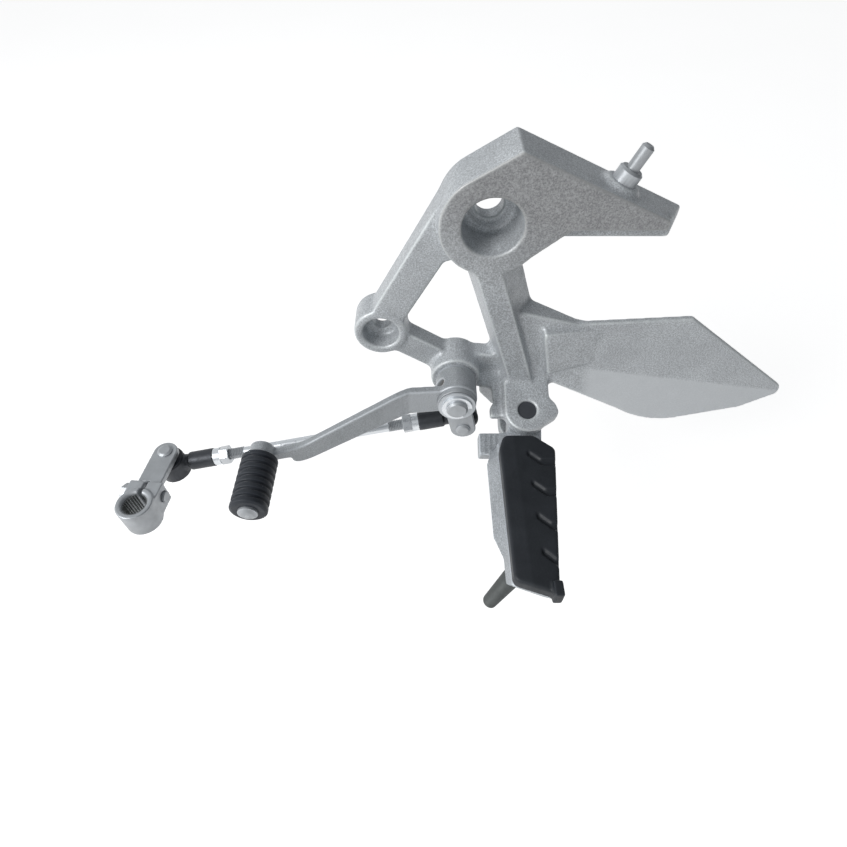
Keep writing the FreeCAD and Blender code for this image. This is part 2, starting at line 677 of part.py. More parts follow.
def add_front_arm(owner):
    """Front arm with a cored back, its bolt boss, the pivot boss and the strut between them."""
    # the front edge is tangent to the eye, so the arm leans less than the line between the holes
    spread = "sqrt(size.boss_x^2 + size.boss_z^2)"
    veer = f"asin((size.eye_radius - size.arm_edge) / {spread})"
    arm_lean = f"atan2(-size.boss_x; -size.boss_z) - {veer}"
    place = ("size.boss_x", "size.boss_z")
    arm = new_sketch(owner, "XZ_Plane", "arm", *place, "size.arm_out", angle=f"-({arm_lean})")
    near, far = "-size.arm_edge", "(size.arm_wide - size.arm_edge)"
    run = f"{spread} * cos({veer})"
    add_outline(arm, [(near, "0"), (far, "0"), (far, run), (near, run)])
    extrude(owner, arm, "size.arm_deep", away=True)
    arm_back = "size.arm_out - size.arm_deep"
    channel = new_sketch(owner, "XZ_Plane", "arm_channel", *place, arm_back, angle=f"-({arm_lean})")
    low = "size.boss_diameter / 2"
    high = f"{low} + size.channel_long"
    left, right = f"{near} + size.arm_wall", f"{far} - size.arm_wall"
    add_outline(channel, [(left, low), (right, low), (right, high), (left, high)])
    extrude(owner, channel, "size.arm_deep - size.arm_wall", away=True, cut=True)
    crotch = new_sketch(owner, "XZ_Plane", "crotch", z="size.arm_out")
    add_outline(
        crotch,
        [
            ("0", "0"),
            ("size.crotch_arm_x", "size.crotch_arm_z"),
            ("size.crotch_spine_x", "size.crotch_spine_z", "size.crotch_round", 1),
        ],
    )
    extrude(owner, crotch, "size.arm_deep", away=True)
    add_boss(
        owner, "front_boss", "size.boss_x", "size.boss_z",
        "size.boss_diameter", "size.boss_out", "size.boss_long",
    )
    run = "sqrt((size.pivot_x - size.boss_x)^2 + (size.pivot_z - size.boss_z)^2)"
    lean = "atan2(size.pivot_x - size.boss_x; size.pivot_z - size.boss_z)"
    add_bar(
        owner, "strut", "size.boss_x", "size.boss_z", lean, "0",
        run, "size.strut_wide", "size.strut_out", "size.strut_deep",
    )
    add_boss(
        owner, "pivot_boss", "size.pivot_x", "size.pivot_z",
        "size.pivot_boss", "size.face_out", "size.pivot_boss_long",
    )


def spine_x(height, shift):
    """Left edge of the spine's outer face at a height, with a shift added."""
    share = f"(size.spine_top - ({height})) / (size.spine_top - size.pin_z)"
    run = "(size.pin_x - size.spine_foot - size.spine_left)"
    return f"size.spine_left + {share} * {run} + ({shift})"


def add_spine(owner):
    """Spine from the plate down to the fork, wider at its back, and the web to the pivot boss."""
    sections = []
    for name, out, left, right in (
        ("spine_front", "size.face_out", "0", "0"),
        ("spine_back", "size.face_out - size.spine_deep", "size.spine_draft_left", "size.spine_draft_right"),
    ):
        sketch = new_sketch(owner, "XZ_Plane", name, z=out)
        wide = f"size.spine_wide + ({right})"
        add_outline(
            sketch,
            [
                (spine_x("size.spine_top", f"-({left})"), "size.spine_top"),
                (spine_x("size.pin_z", f"-({left})"), "size.pin_z"),
                (spine_x("size.pin_z", wide), "size.pin_z"),
                (spine_x("size.spine_top", wide), "size.spine_top"),
            ],
        )
        sections.append(sketch)
    loft(owner, sections)
    web = new_sketch(owner, "XZ_Plane", "web", z="size.web_out")
    add_outline(
        web,
        [
            ("size.pivot_x", "size.pivot_z + size.pivot_boss / 2 - size.web_bite"),
            (spine_x("size.pivot_z + size.web_rise", "size.web_bite"), "size.pivot_z + size.web_rise"),
            (spine_x("size.pin_z", "size.web_bite"), "size.pin_z"),
            ("size.pivot_x", "size.pivot_z - size.pivot_boss / 2 + size.web_bite"),
        ],
    )
    extrude(owner, web, "size.web_deep", away=True)


def add_fork(owner):
    """Fork for the footpeg: two ears about a leaning pin, a rear horn and a front shoulder."""
    block = fork_sketch(owner, "fork", "0")
    add_outline(
        block,
        [
            ("-size.ear_half", "size.ear_back"),
            ("-size.ear_half", "0"),
            ("0", "-size.ear_half", "size.ear_half", -1),
            ("size.ear_half", "0", "size.ear_half", -1),
            ("size.ear_half", "size.ear_back"),
        ],
    )
    extrude(owner, block, FORK_HIGH, away=True)
    horn = fork_sketch(owner, "horn", "0")
    add_outline(
        horn,
        [
            ("0", "size.ear_waist"),
            ("0", "-size.horn_foot"),
            ("size.horn_foot_x", "-size.horn_foot"),
            ("size.horn_low_x", "-size.horn_low"),
            ("size.horn_reach", "-size.horn_out"),
            ("size.horn_low_x", "size.horn_back"),
            ("size.ear_waist_x", "size.ear_waist"),
        ],
    )
    extrude(owner, horn, "size.ear_thick", away=True)
    wing = fork_sketch(owner, "wing", "size.wing_step")
    add_outline(
        wing,
        [
            ("-size.wing_root", "size.wing_back"),
            ("-size.ear_half", "size.wing_back"),
            ("-size.wing_reach", "size.wing_end"),
            ("-size.wing_reach", "-size.wing_tip"),
            ("-size.wing_root", "-size.wing_tip"),
        ],
    )
    extrude(owner, wing, "size.ear_thick - size.wing_step", away=True)
    bay = fork_sketch(owner, "bay", "size.ear_thick")
    wide = "(size.wing_reach + size.ear_thick)"
    add_outline(
        bay,
        [
            (f"-{wide}", "-2 * size.ear_half"),
            (wide, "-2 * size.ear_half"),
            (wide, "size.fork_bay"),
            (f"-{wide}", "size.fork_bay"),
        ],
    )
    extrude(owner, bay, "size.fork_gap", cut=True)
    hole = fork_sketch(owner, "pin_hole", "0")
    add_circle(hole, "0", "0", "size.pin_diameter")
    extrude(owner, hole, FORK_HIGH, cut=True)
    recess = fork_sketch(owner, "pin_recess", "0")
    add_circle(recess, "0", "0", "size.pin_head")
    extrude(owner, recess, "size.pin_recess", cut=True)


def cut_casting(owner):
    """Counterbored bolt holes, the pivot pin's hole and the stud's hole."""
    cut_hole(owner, "main_hole", "0", "0", "size.bolt_hole", "size.face_out", "size.face_out")
    cut_hole(
        owner, "main_counterbore", "0", "0", "size.counterbore",
        "size.face_out", "size.face_out - size.bolt_wall",
    )
    boss = ("size.boss_x", "size.boss_z")
    cut_hole(owner, "front_hole", *boss, "size.boss_hole", "size.boss_out", "size.boss_long")
    cut_hole(
        owner, "front_counterbore", *boss, "size.boss_counterbore",
        "size.boss_out", "size.boss_long - size.boss_wall",
    )
    cut_hole(
        owner, "axle_hole", "size.pivot_x", "size.pivot_z",
        "size.axle_diameter", "size.face_out", "size.face_out",
    )
    hole = new_sketch(owner, "XY_Plane", "stud_hole", *STUD_TOP, Vector(0, 1, 0), "size.tail_slope")
    add_circle(hole, "0", "0", "size.stud_pin")
    extrude(owner, hole, "size.stud_root", cut=True)


def bevel_rims(owner):
    """Machined edges of the bosses and counterbores."""
    rims = (
        ("0", "size.face_out", "0", "size.counterbore"),
        ("size.boss_x", "size.boss_out", "size.boss_z", "size.boss_diameter"),
        ("size.boss_x", "size.boss_out", "size.boss_z", "size.boss_counterbore"),
        ("size.pivot_x", "size.face_out", "size.pivot_z", "size.pivot_boss"),
    )
    circles = [(value(x), -value(out), value(z), value(wide) / 2) for x, out, z, wide in rims]

    def is_rim(edge):
        return any(is_circle(edge, *circle) for circle in circles)

    dress(owner, "Chamfer", "rims", is_rim, "size.rim_chamfer")


def build_guard():
    """Heel guard: an outlined plate whose lower part turns outwards along a crease."""
    outline = new_body("guard_outline")
    sketch = new_sketch(outline, "XZ_Plane", "guard", z="size.guard_out + size.guard_reach")
    add_outline(
        sketch,
        [
            ("size.guard_root_x", "size.guard_neck_z + size.guard_rise"),
            ("size.guard_root_x", "size.guard_root_low"),
            ("size.guard_foot_x", "size.guard_root_low"),
            ("size.guard_lead_x", "size.guard_lead_z"),
            ("size.guard_belly_x", "size.guard_belly_z", "size.guard_belly_radius", -1),
            ("size.guard_heel_x", "size.guard_heel_z"),
            ("size.guard_tip_x", "size.guard_tip_z - size.guard_tip_radius / 2"),
            ("size.guard_tip_x", "size.guard_tip_z + size.guard_tip_radius / 2", "size.guard_tip_radius", -1),
            ("size.guard_corner_x", "size.guard_corner_z"),
            ("size.guard_neck_x", "size.guard_neck_z"),
        ],
    )
    extrude(outline, sketch, "2 * size.guard_reach", away=True)
    fall = value("atan2(size.guard_crease_z - size.guard_tip_z; size.guard_tip_x - size.guard_crease_x)")
    bend = new_body(
        "guard_bend", "size.guard_crease_x", "-size.guard_out", "size.guard_crease_z",
        Rotation(Vector(0, 1, 0), fall),
    )
    section = new_sketch(bend, "YZ_Plane", "guard_section", z="-size.guard_tip_x")
    turn = "(size.guard_flare)"
    add_outline(
        section,
        [
            ("0", "size.guard_span"),
            ("0", "0"),
            (f"-size.guard_span * sin{turn}", f"-size.guard_span * cos{turn}"),
            (
                f"-size.guard_span * sin{turn} + size.guard_thick * cos{turn}",
                f"-size.guard_span * cos{turn} - size.guard_thick * sin{turn}",
            ),
            ("size.guard_thick", f"-size.guard_thick * tan({turn} / 2)"),
            ("size.guard_thick", "size.guard_span"),
        ],
    )
    extrude(bend, section, "2 * size.guard_tip_x")
    root = new_body("guard_root")
    swell = new_sketch(root, "XY_Plane", "guard_swell", z="-2 * size.guard_reach")
    add_outline(
        swell,
        [
            ("size.guard_root_x", "-size.guard_out"),
            ("size.guard_slim_x", "-size.guard_out"),
            ("size.guard_slim_x", "size.guard_thick - size.guard_out"),
            ("size.guard_swell_x", "size.guard_root_thick - size.guard_out"),
            ("size.guard_root_x", "size.guard_root_thick - size.guard_out"),
        ],
    )
    extrude(root, swell, "2 * size.guard_reach")
    blank = doc.addObject("Part::Fuse", "guard_blank")
    blank.Base = bend
    blank.Tool = root
    guard = doc.addObject("Part::Common", "heel_guard")
    guard.Base = outline
    guard.Tool = blank
    doc.recompute()
    return guard


def build_hanger():
    """The cast hanger with its heel guard in one piece."""
    core = new_body("hanger_core")
    add_plate(core)
    add_front_arm(core)
    add_spine(core)
    add_fork(core)
    add_stud_pad(core)
    cut_casting(core)
    bevel_rims(core)
    guard = build_guard()
    casting = doc.addObject("Part::Fuse", "hanger_casting")
    casting.Base = core
    casting.Tool = guard
    casting.Label = "hanger_casting"
    casting.Refine = True
    doc.recompute()


def build_hanger_fittings():
    """Cover stud, lever pivot pin with its washers and circlip, and the footpeg pin."""
    lean = Rotation(Vector(0, 1, 0), value("size.tail_slope"))
    top = "size.stud_collar_high + size.stud_long"
    turned(
        "cover_stud",
        [
            ("0", "-size.stud_root"),
            ("size.stud_pin / 2", "-size.stud_root"),
            ("size.stud_pin / 2", "0"),
            ("size.stud_collar / 2", "0"),
            ("size.stud_collar / 2", "size.stud_collar_high - size.end_bevel"),
            ("size.stud_collar / 2 - size.end_bevel", "size.stud_collar_high"),
            ("size.stud_pin / 2", "size.stud_collar_high"),
            ("size.stud_pin / 2", f"{top} - size.end_bevel"),
            ("size.stud_pin / 2 - size.end_bevel", top),
            ("0", top),
        ],
        *STUD_TOP,
        lean,
    )
    pivot = ("size.pivot_x", "0", "size.pivot_z", OUTBOARD)
    back = "(size.face_out - size.pivot_boss_long)"
    groove = f"({TAB_FACE} + size.side_gap + size.washer_thick)"
    shaft = "size.axle_diameter / 2"
    turned(
        "lever_pivot_pin",
        [
            ("0", f"{back} - size.axle_head_thick"),
            ("size.axle_head / 2", f"{back} - size.axle_head_thick"),
            ("size.axle_head / 2", back),
            (shaft, back),
            (shaft, groove),
            (f"{shaft} - size.clip_groove", groove),
            (f"{shaft} - size.clip_groove", f"{groove} + size.clip_thick"),
            (shaft, f"{groove} + size.clip_thick"),
            (shaft, "size.axle_end - size.end_bevel"),
            (f"{shaft} - size.end_bevel", "size.axle_end"),
            ("0", "size.axle_end"),
        ],
        *pivot,
    )
    bore = f"{shaft} + size.running_gap"
    turned(
        "thrust_washer",
        ring(bore, "size.thrust_diameter / 2", "size.face_out", "size.face_out + size.thrust_thick"),
        *pivot,
    )
    turned(
        "pivot_washer",
        ring(bore, "size.washer_diameter / 2", f"{groove} - size.washer_thick", groove),
        *pivot,
    )
    turned(
        "pivot_circlip",
        ring(f"{shaft} - size.clip_groove", "size.clip_diameter / 2", groove, f"{groove} + size.clip_thick"),
        *pivot,
        angle=360 - value("size.clip_open"),
    )


def fork_turn():
    """Rotation that stands a turned piece along the footpeg pin."""
    return Rotation(FORK["axis"], value(FORK["angle"]))


def build_footpeg_pin():
    """Headed pin through the fork, its washer, split pin and return spring."""
    place = ("size.pin_x", "-size.pin_out", "size.pin_z", fork_turn())
    head_top = "-(size.pin_recess - size.pin_head_thick)"
    washer = f"-({FORK_HIGH} + size.washer_thick)"
    end = f"-({FORK_HIGH} + size.washer_thick + size.pin_tail)"
    shank = "size.pin_diameter / 2"
    turned(
        "footpeg_pin",
        [
            ("0", head_top),
            ("size.pin_head / 2", head_top),
            ("size.pin_head / 2", "-size.pin_recess"),
            (shank, "-size.pin_recess"),
            (shank, f"{end} + size.end_bevel"),
            (f"{shank} - size.end_bevel", end),
            ("0", end),
        ],
        *place,
    )
    turned("footpeg_pin_washer", ring(shank, "size.pin_washer / 2", washer, f"-{FORK_HIGH}"), *place)
    cross = doc.addObject("Part::Cylinder", "footpeg_split_pin")
    cross.Label = "footpeg_split_pin"
    bind(cross, Radius="size.cotter / 2", Height="size.pin_washer")
    down = value(washer) - value("size.cotter / 2")
    spot = Vector(-value("size.pin_washer") / 2, 0, down)
    base = Vector(value(place[0]), value(place[1]), value(place[2])) + fork_turn().multVec(spot)
    cross.Placement = Placement(base, fork_turn() * Rotation(Vector(0, 1, 0), 90))
    hole = doc.getObject("footpeg_pin")
    drill_y = f"{washer} - size.cotter / 2"
    drill = new_sketch(hole, "YZ_Plane", "split_pin_hole", y=drill_y, z="size.pin_washer / 2")
    add_circle(drill, "0", "0", "size.cotter")
    extrude(hole, drill, "size.pin_washer", cut=True)
    spring = doc.addObject("Part::Feature", "return_spring")
    spring.Label = "return_spring"
    spring.Shape = coil_shape()
    room = value("size.ear_thick + size.fork_gap - size.spring_high / 2")
    middle = Vector(0, 0, -room - value("size.coil_turns * size.coil_pitch") / 2)
    base = Vector(value(place[0]), value(place[1]), value(place[2])) + fork_turn().multVec(middle)
    spring.Placement = Placement(base, fork_turn())


def coil_shape():
    """Close-wound coil with one straight leg that lies inboard against the fork."""
    radius = value("size.coil_radius")
    wire = value("size.coil_wire") / 2
    pitch = value("size.coil_pitch")
    helix = Part.makeHelix(pitch, pitch * value("size.coil_turns"), radius)
    section = Part.Wire(Part.makeCircle(wire, Vector(radius, 0, 0), Vector(0, 1, 0)))
    coil = Part.Wire(helix.Edges).makePipeShell([section], True, True)
    leg = Part.makeCylinder(wire, value("size.coil_leg"), Vector(radius, 0, 0), Vector(0, 1, 0))
    return coil.fuse(leg).removeSplitter()


def add_bar_outline(lever):
    """Lever bar: its side view as a slab, thinned to a bent strip and rounded at the bends."""
    side = new_sketch(lever, "XZ_Plane", "bar_side", z="size.toe_root")
    corners = {
        "hub_top": ("size.pivot_x", "size.pivot_z + size.bar_top"),
        "bend": ("size.bend_x", "size.pivot_z + size.bend_rise"),
        "knee": ("size.knee_x", "size.pivot_z - size.knee_drop"),
        "toe_top": ("size.toe_x", "size.pivot_z - size.knee_drop"),
        "toe_low": ("size.toe_x", "size.pivot_z - size.toe_neck_drop + size.bar_thick / 2"),
        "neck": ("size.heel_end_x", "size.pivot_z - size.toe_neck_drop"),
        "corner": ("size.heel_end_x", "size.pivot_z - size.heel_drop"),
        "heel": ("size.heel_x", "size.pivot_z - size.heel_drop"),
        "belly": ("size.belly_x", "size.pivot_z - size.belly_drop"),
        "hub_low": ("size.pivot_x", "size.pivot_z - size.bar_low"),
    }
    add_outline(side, list(corners.values()))
    root_face, toe_face = "size.hub_out", "(size.toe_root - size.toe_boss_long / 4)"
    root_back = "(size.hub_out - size.bar_thick)"
    extrude(lever, side, f"size.toe_root - {root_back}", away=True)
    for names, radius in (
        (("bend", "belly"), "size.bend_round"),
        (("knee", "heel"), "size.knee_round"),
        (("corner",), "size.heel_round"),
    ):
        spots = [tuple(value(part) for part in corners[name]) for name in names]
        dress(lever, "Fillet", f"{names[0]}_round", lambda edge: runs_across(edge, spots), radius)
    high = "(size.pivot_z + size.bar_top)"
    right, left = "size.pivot_x", "size.toe_x - size.toe_boss"
    for name, root, toe, limit in (
        ("bar_outside", root_face, toe_face, "(size.toe_root + size.bar_thick)"),
        ("bar_inside", root_back, f"({toe_face} - size.bar_thick)", "(size.hub_out - 2 * size.bar_thick)"),
    ):
        cut = new_sketch(lever, "XY_Plane", name, z=high)
        add_outline(
            cut,
            [
                (right, f"-{root}"),
                ("size.bar_bend_x", f"-{root}"),
                ("size.toe_x + size.toe_boss / 2", f"-{toe}"),
                (left, f"-{toe}"),
                (left, f"-{limit}"),
                (right, f"-{limit}"),
            ],
        )
        extrude(lever, cut, "size.bar_top + size.heel_drop", cut=True)


def runs_across(edge, spots):
    """Whether an edge runs inboard to outboard through one of these (x, z) spots."""
    if not isinstance(edge.Curve, Part.Line) or abs(edge.tangentAt(edge.FirstParameter).y) < 0.999:
        return False
    place = edge.Vertexes[0].Point
    return any(math.hypot(place.x - x, place.z - z) < 1e-3 for x, z in spots)


def build_lever():
    """Shift lever with its hub bushes, toe peg and linkage tab."""
    lever = new_body("shift_lever")
    pivot = ("size.pivot_x", "size.pivot_z")
    add_boss(lever, "hub", *pivot, "size.hub_diameter", "size.hub_out", f"size.hub_out - {HUB_BACK}")
    add_bar_outline(lever)
    add_boss(lever, "toe_boss", "size.toe_x", TOE_Z, "size.toe_boss", "size.toe_root", "size.toe_boss_long")
    bush = "size.axle_diameter / 2 + size.running_gap + size.bush_wall"
    cut_hole(lever, "hub_bore", *pivot, f"2 * ({bush})", "size.hub_out", f"size.hub_out - {HUB_BACK}")
    cut_hole(
        lever, "toe_bore", "size.toe_x", TOE_Z, "size.toe_spindle", "size.toe_root", "size.toe_boss_long",
    )
    axis = ("size.pivot_x", "0", "size.pivot_z", OUTBOARD)
    inner = "size.axle_diameter / 2 + size.running_gap"
    turned("inner_hub_bush", ring(inner, bush, HUB_BACK, f"{HUB_BACK} + size.bush_long"), *axis)
    turned("outer_hub_bush", ring(inner, bush, "size.hub_out - size.bush_long", "size.hub_out"), *axis)
    build_tab()
    build_toe()


def build_tab():
    """Pressed tab on the end of the hub that carries the rear ball stud."""
    tab = new_body("linkage_tab")
    pivot = ("size.pivot_x", "size.pivot_z")
    stud = (REAR_BALL[0], REAR_BALL[2])
    add_boss(tab, "tab_round", *pivot, "size.tab_ring", TAB_FACE, "size.tab_thick")
    add_bar(
        tab, "tab_tongue", *pivot, "180 - size.tab_swing", "0",
        "size.tab_reach", "size.tab_wide", TAB_FACE, "size.tab_thick",
    )
    add_boss(tab, "tab_end", *stud, "size.tab_wide", TAB_FACE, "size.tab_thick")
    clear = "size.axle_diameter + 4 * size.side_gap"
    cut_hole(tab, "tab_bore", *pivot, clear, TAB_FACE, "size.tab_thick")
    cut_hole(tab, "tab_stud_hole", *stud, "size.ball_shank", TAB_FACE, "size.tab_thick")


def build_toe():
    """Riveted toe spindle and its ribbed rubber sleeve."""
    axis = ("size.toe_x", "0", TOE_Z, OUTBOARD)
    back = "(size.toe_root - size.toe_boss_long)"
    end = "(size.toe_root + size.toe_long)"
    spindle = "size.toe_spindle / 2"
    turned(
        "toe_spindle",
        [
            ("0", f"{back} - size.rivet_high"),
            (spindle, f"{back} - size.rivet_high"),
            ("size.toe_tail / 2", back),
            (spindle, back),
            (spindle, end),
            ("size.toe_dome / 2", end),
            ("size.toe_dome / 2", f"{end} + size.toe_rim"),
            ("size.toe_shoulder / 2", f"{end} + size.toe_dome_high - size.toe_crown"),
            ("0", f"{end} + size.toe_dome_high"),
        ],
        *axis,
    )
    pitch = f"size.toe_long / {TOE_RINGS}"
    crest = "size.toe_diameter / 2"
    valley = f"{crest} - size.toe_groove"
    profile = [(spindle, "size.toe_root"), (f"{crest} - size.toe_bevel", "size.toe_root")]
    for i in range(TOE_RINGS):
        low = f"(size.toe_root + {pitch} * ({i} + 0.5))"
        profile.append((crest, f"{low} - size.ring_wide / 2"))
        profile.append((crest, f"{low} + size.ring_wide / 2"))
        if i < TOE_RINGS - 1:
            profile.append((valley, f"{low} + size.ring_wide / 2 + size.ring_slope"))
            profile.append((valley, f"{low} + {pitch} - size.ring_wide / 2 - size.ring_slope"))
    profile.append((f"{crest} - size.toe_bevel", end))
    profile.append((spindle, end))
    turned("toe_rubber", profile, *axis)


def point(place):
    """Vector of three sheet expressions."""
    return Vector(*(value(part) for part in place))


def build_ball_stud(label, centre, turn, neck, plate):
    """Ball stud riveted through a plate; its axis runs from the ball to the plate."""
    ball = "size.ball_diameter / 2"
    slim = "size.ball_neck / 2"
    shank = "size.ball_shank / 2"
    rivet = "size.rivet_diameter / 2"
    far = f"({neck} + {plate})"
    turned(
        label,
        [
            ("0", f"-{ball}"),
            (slim, f"sqrt(({ball})^2 - ({slim})^2)", ball, -1),
            (slim, f"{neck} - size.collar_thick"),
            (rivet, f"{neck} - size.collar_thick"),
            (rivet, neck),
            (shank, neck),
            (shank, far),
            (rivet, far),
            (rivet, f"{far} + size.rivet_high / 2"),
            (f"{rivet} - size.rivet_bevel", f"{far} + size.rivet_high"),
            ("0", f"{far} + size.rivet_high"),
        ],
        *centre,
        turn,
    )


def build_rod_end(prefix, centre, along, to_plate, neck):
    """Ball joint housing on the rod with its seat, boot, ferrule and jam nut."""
    turn = Rotation(along, Vector(), to_plate, "XZY")
    face = "size.socket_face"
    thick = "(size.socket_back + size.socket_face)"
    housing = new_body(f"{prefix}_rod_end", *centre, turn)
    socket = new_sketch(housing, "XY_Plane", f"{prefix}_socket", z="-size.socket_back")
    add_circle(socket, "0", "0", "size.socket_diameter")
    extrude(housing, socket, thick)
    shank_start = "size.seat_diameter / 2"
    shank = new_sketch(housing, "YZ_Plane", f"{prefix}_shank", z=shank_start)
    add_circle(shank, "0", "0", "size.shank_diameter")
    extrude(housing, shank, f"size.shank_long - {shank_start}")
    sleeve = new_sketch(housing, "YZ_Plane", f"{prefix}_sleeve", z="size.sleeve_start")
    add_circle(sleeve, "0", "0", "size.sleeve_diameter")
    extrude(housing, sleeve, "size.shank_long - size.sleeve_start")
    cup = new_sketch(housing, "XY_Plane", f"{prefix}_cup", z=face)
    add_circle(cup, "0", "0", "size.seat_diameter")
    extrude(housing, cup, f"{thick} - size.socket_floor", cut=True)
    bore = new_sketch(housing, "YZ_Plane", f"{prefix}_rod_bore", z="size.shank_long")
    add_circle(bore, "0", "0", "size.rod_diameter")
    extrude(housing, bore, "size.shank_long - size.rod_inset", cut=True)

    hollow = "(size.ball_diameter / 2 + size.running_gap)"
    low = "(size.socket_floor - size.socket_back)"
    turned(
        f"{prefix}_ball_seat",
        [
            ("0", f"-{hollow}", hollow, 1),
            ("0", low),
            ("size.seat_diameter / 2", low),
            ("size.seat_diameter / 2", "size.seat_mouth"),
            (f"sqrt({hollow}^2 - size.seat_mouth^2)", "size.seat_mouth"),
        ],
        *centre,
        turn,
    )
    tall = f"({neck} - {face} - size.boot_gap)"
    outer = [
        ("size.boot_base", face),
        ("size.boot_base", f"{face} + size.boot_foot"),
        ("size.boot_waist", f"{face} + size.boot_fold"),
        ("size.boot_mouth", f"{face} + {tall}"),
    ]
    inner = [(f"{radius} - size.boot_wall", height) for radius, height in reversed(outer)]
    turned(f"{prefix}_dust_boot", outer + inner, *centre, turn)

    lengthwise = turn * Rotation(Vector(0, 1, 0), 90)
    ferrule_end = "size.shank_long + size.ferrule_long"
    turned(
        f"{prefix}_ferrule",
        ring("size.rod_diameter / 2", "size.ferrule_diameter / 2", "size.shank_long", ferrule_end),
        *centre,
        lengthwise,
    )
    nut = new_body(f"{prefix}_jam_nut", *centre, lengthwise)
    flats = new_sketch(nut, "XY_Plane", f"{prefix}_nut_flats", z=ferrule_end)
    add_hexagon(flats, "size.nut_flats")
    add_circle(flats, "0", "0", "size.rod_diameter")
    extrude(nut, flats, "size.nut_thick")


def build_rod():
    """Shift rod between the two ball joints, and the studs that carry it."""
    rear, front = point(REAR_BALL), point(FRONT_BALL)
    along = (front - rear).normalize()
    build_rod_end("rear", REAR_BALL, along, Vector(0, -1, 0), "size.rear_neck")
    build_rod_end("front", FRONT_BALL, -along, Vector(0, 0, 1), "size.front_neck")
    build_ball_stud("rear_ball_stud", REAR_BALL, OUTBOARD, "size.rear_neck", "size.tab_thick")
    build_ball_stud("front_ball_stud", FRONT_BALL, None, "size.front_neck", "size.blade_thick")
    offsets = [f"({b} - ({a}))^2" for a, b in zip(REAR_BALL, FRONT_BALL)]
    span = "sqrt(" + " + ".join(offsets) + ")"
    radius = "size.rod_diameter / 2"
    turned(
        "shift_rod",
        ring("0", radius, "size.rod_inset", f"{span} - size.rod_inset"),
        *REAR_BALL,
        Rotation(Vector(0, 0, 1), along),
    )


def build_shift_arm():
    """Clamp arm for the gearbox's shift shaft, with its pinch bolt."""
    turn = Rotation(Vector(0, 0, 1), value("size.arm_turn"))
    arm = new_body("shift_arm", *FRONT_BALL, turn)
    blade_top = "(size.front_neck + size.blade_thick)"
    hub_top = f"({blade_top} + size.clamp_rise)"
    ears_end = "(size.ear_long - size.arm_reach)"
    half = "(size.blade_wide / 2)"
    blade = new_sketch(arm, "XY_Plane", "blade", z="size.front_neck")
    add_outline(
        blade,
        [
            (f"-{half}", "0"),
            (f"-{half}", f"{ears_end} - size.blade_bite"),
            (half, f"{ears_end} - size.blade_bite"),
            (half, "0"),
        ],
    )
    extrude(arm, blade, "size.blade_thick")
    tip = new_sketch(arm, "XY_Plane", "blade_end", z="size.front_neck")
    add_circle(tip, "0", "0", "size.blade_wide")
    extrude(arm, tip, "size.blade_thick")
    clamp = new_sketch(arm, "XY_Plane", "clamp", y="-size.arm_reach", z=hub_top)
    add_circle(clamp, "0", "0", "size.clamp_diameter")
    extrude(arm, clamp, "size.clamp_high", away=True)
    ears = new_sketch(arm, "XY_Plane", "ears", z=f"{hub_top} - size.ear_drop / 2")
    side = "(size.ear_wide / 2)"
    add_outline(
        ears,
        [
            (f"-{side}", "-size.arm_reach"),
            (side, "-size.arm_reach"),
            (side, ears_end),
            (f"-{side}", ears_end),
        ],
    )
    extrude(arm, ears, "size.clamp_high - size.ear_drop", away=True)
    shaft = new_sketch(arm, "XY_Plane", "shaft_bore", y="-size.arm_reach", z=hub_top)
    add_circle(shaft, "0", "0", "size.shaft_bore")
    extrude(arm, shaft, "size.clamp_high", cut=True)
    slit = new_sketch(arm, "XY_Plane", "slit", z=hub_top)
    gap = "(size.clamp_slit / 2)"
    add_outline(
        slit,
        [
            (f"-{gap}", "-size.arm_reach"),
            (gap, "-size.arm_reach"),
            (gap, f"{ears_end} + size.ear_gap"),
            ("-size.ear_wide", f"{ears_end} + size.ear_gap"),
            ("-size.ear_wide", ears_end),
            (f"-{gap}", ears_end),
        ],
    )
    extrude(arm, slit, "size.clamp_high", cut=True)
    rivet = new_sketch(arm, "XY_Plane", "blade_rivet_hole", z=blade_top)
    add_circle(rivet, "0", "0", "size.ball_shank")
    extrude(arm, rivet, "size.blade_thick", cut=True)
    bolt_y = "size.pinch_offset - size.arm_reach"
    bolt_z = f"{hub_top} - size.clamp_high / 2"
    hole = new_sketch(arm, "YZ_Plane", "pinch_hole", bolt_y, bolt_z, "size.ear_wide")
    add_circle(hole, "0", "0", "size.pinch_diameter + size.bolt_play")
    extrude(arm, hole, "2 * size.ear_wide", cut=True)
    bore = (0, -value("size.arm_reach"), value(hub_top), value("size.shaft_bore") / 2)
    dress(arm, "Chamfer", "bore_lead_in", lambda edge: on_circle(edge, *bore), "size.bore_chamfer")

    seat = Vector(-value(side), value(bolt_y), value(bolt_z))
    bolt = new_body("pinch_bolt")
    place_at(bolt, point(FRONT_BALL) + turn.multVec(seat), turn * Rotation(Vector(0, 1, 0), 90))
    head = new_sketch(bolt, "XY_Plane", "pinch_head")
    add_hexagon(head, "size.pinch_flats")
    extrude(bolt, head, "size.pinch_head", away=True)
    shank = new_sketch(bolt, "XY_Plane", "pinch_shank")
    add_circle(shank, "0", "0", "size.pinch_diameter")
    extrude(bolt, shank, "size.ear_wide + size.pinch_tail")


def place_at(made, base, turn):
    """Give a body a place that is worked out from the sheet in two frames."""
    for axis in ("x", "y", "z"):
        made.setExpression(f"Placement.Base.{axis}", None)
    made.Placement = Placement(base, turn)


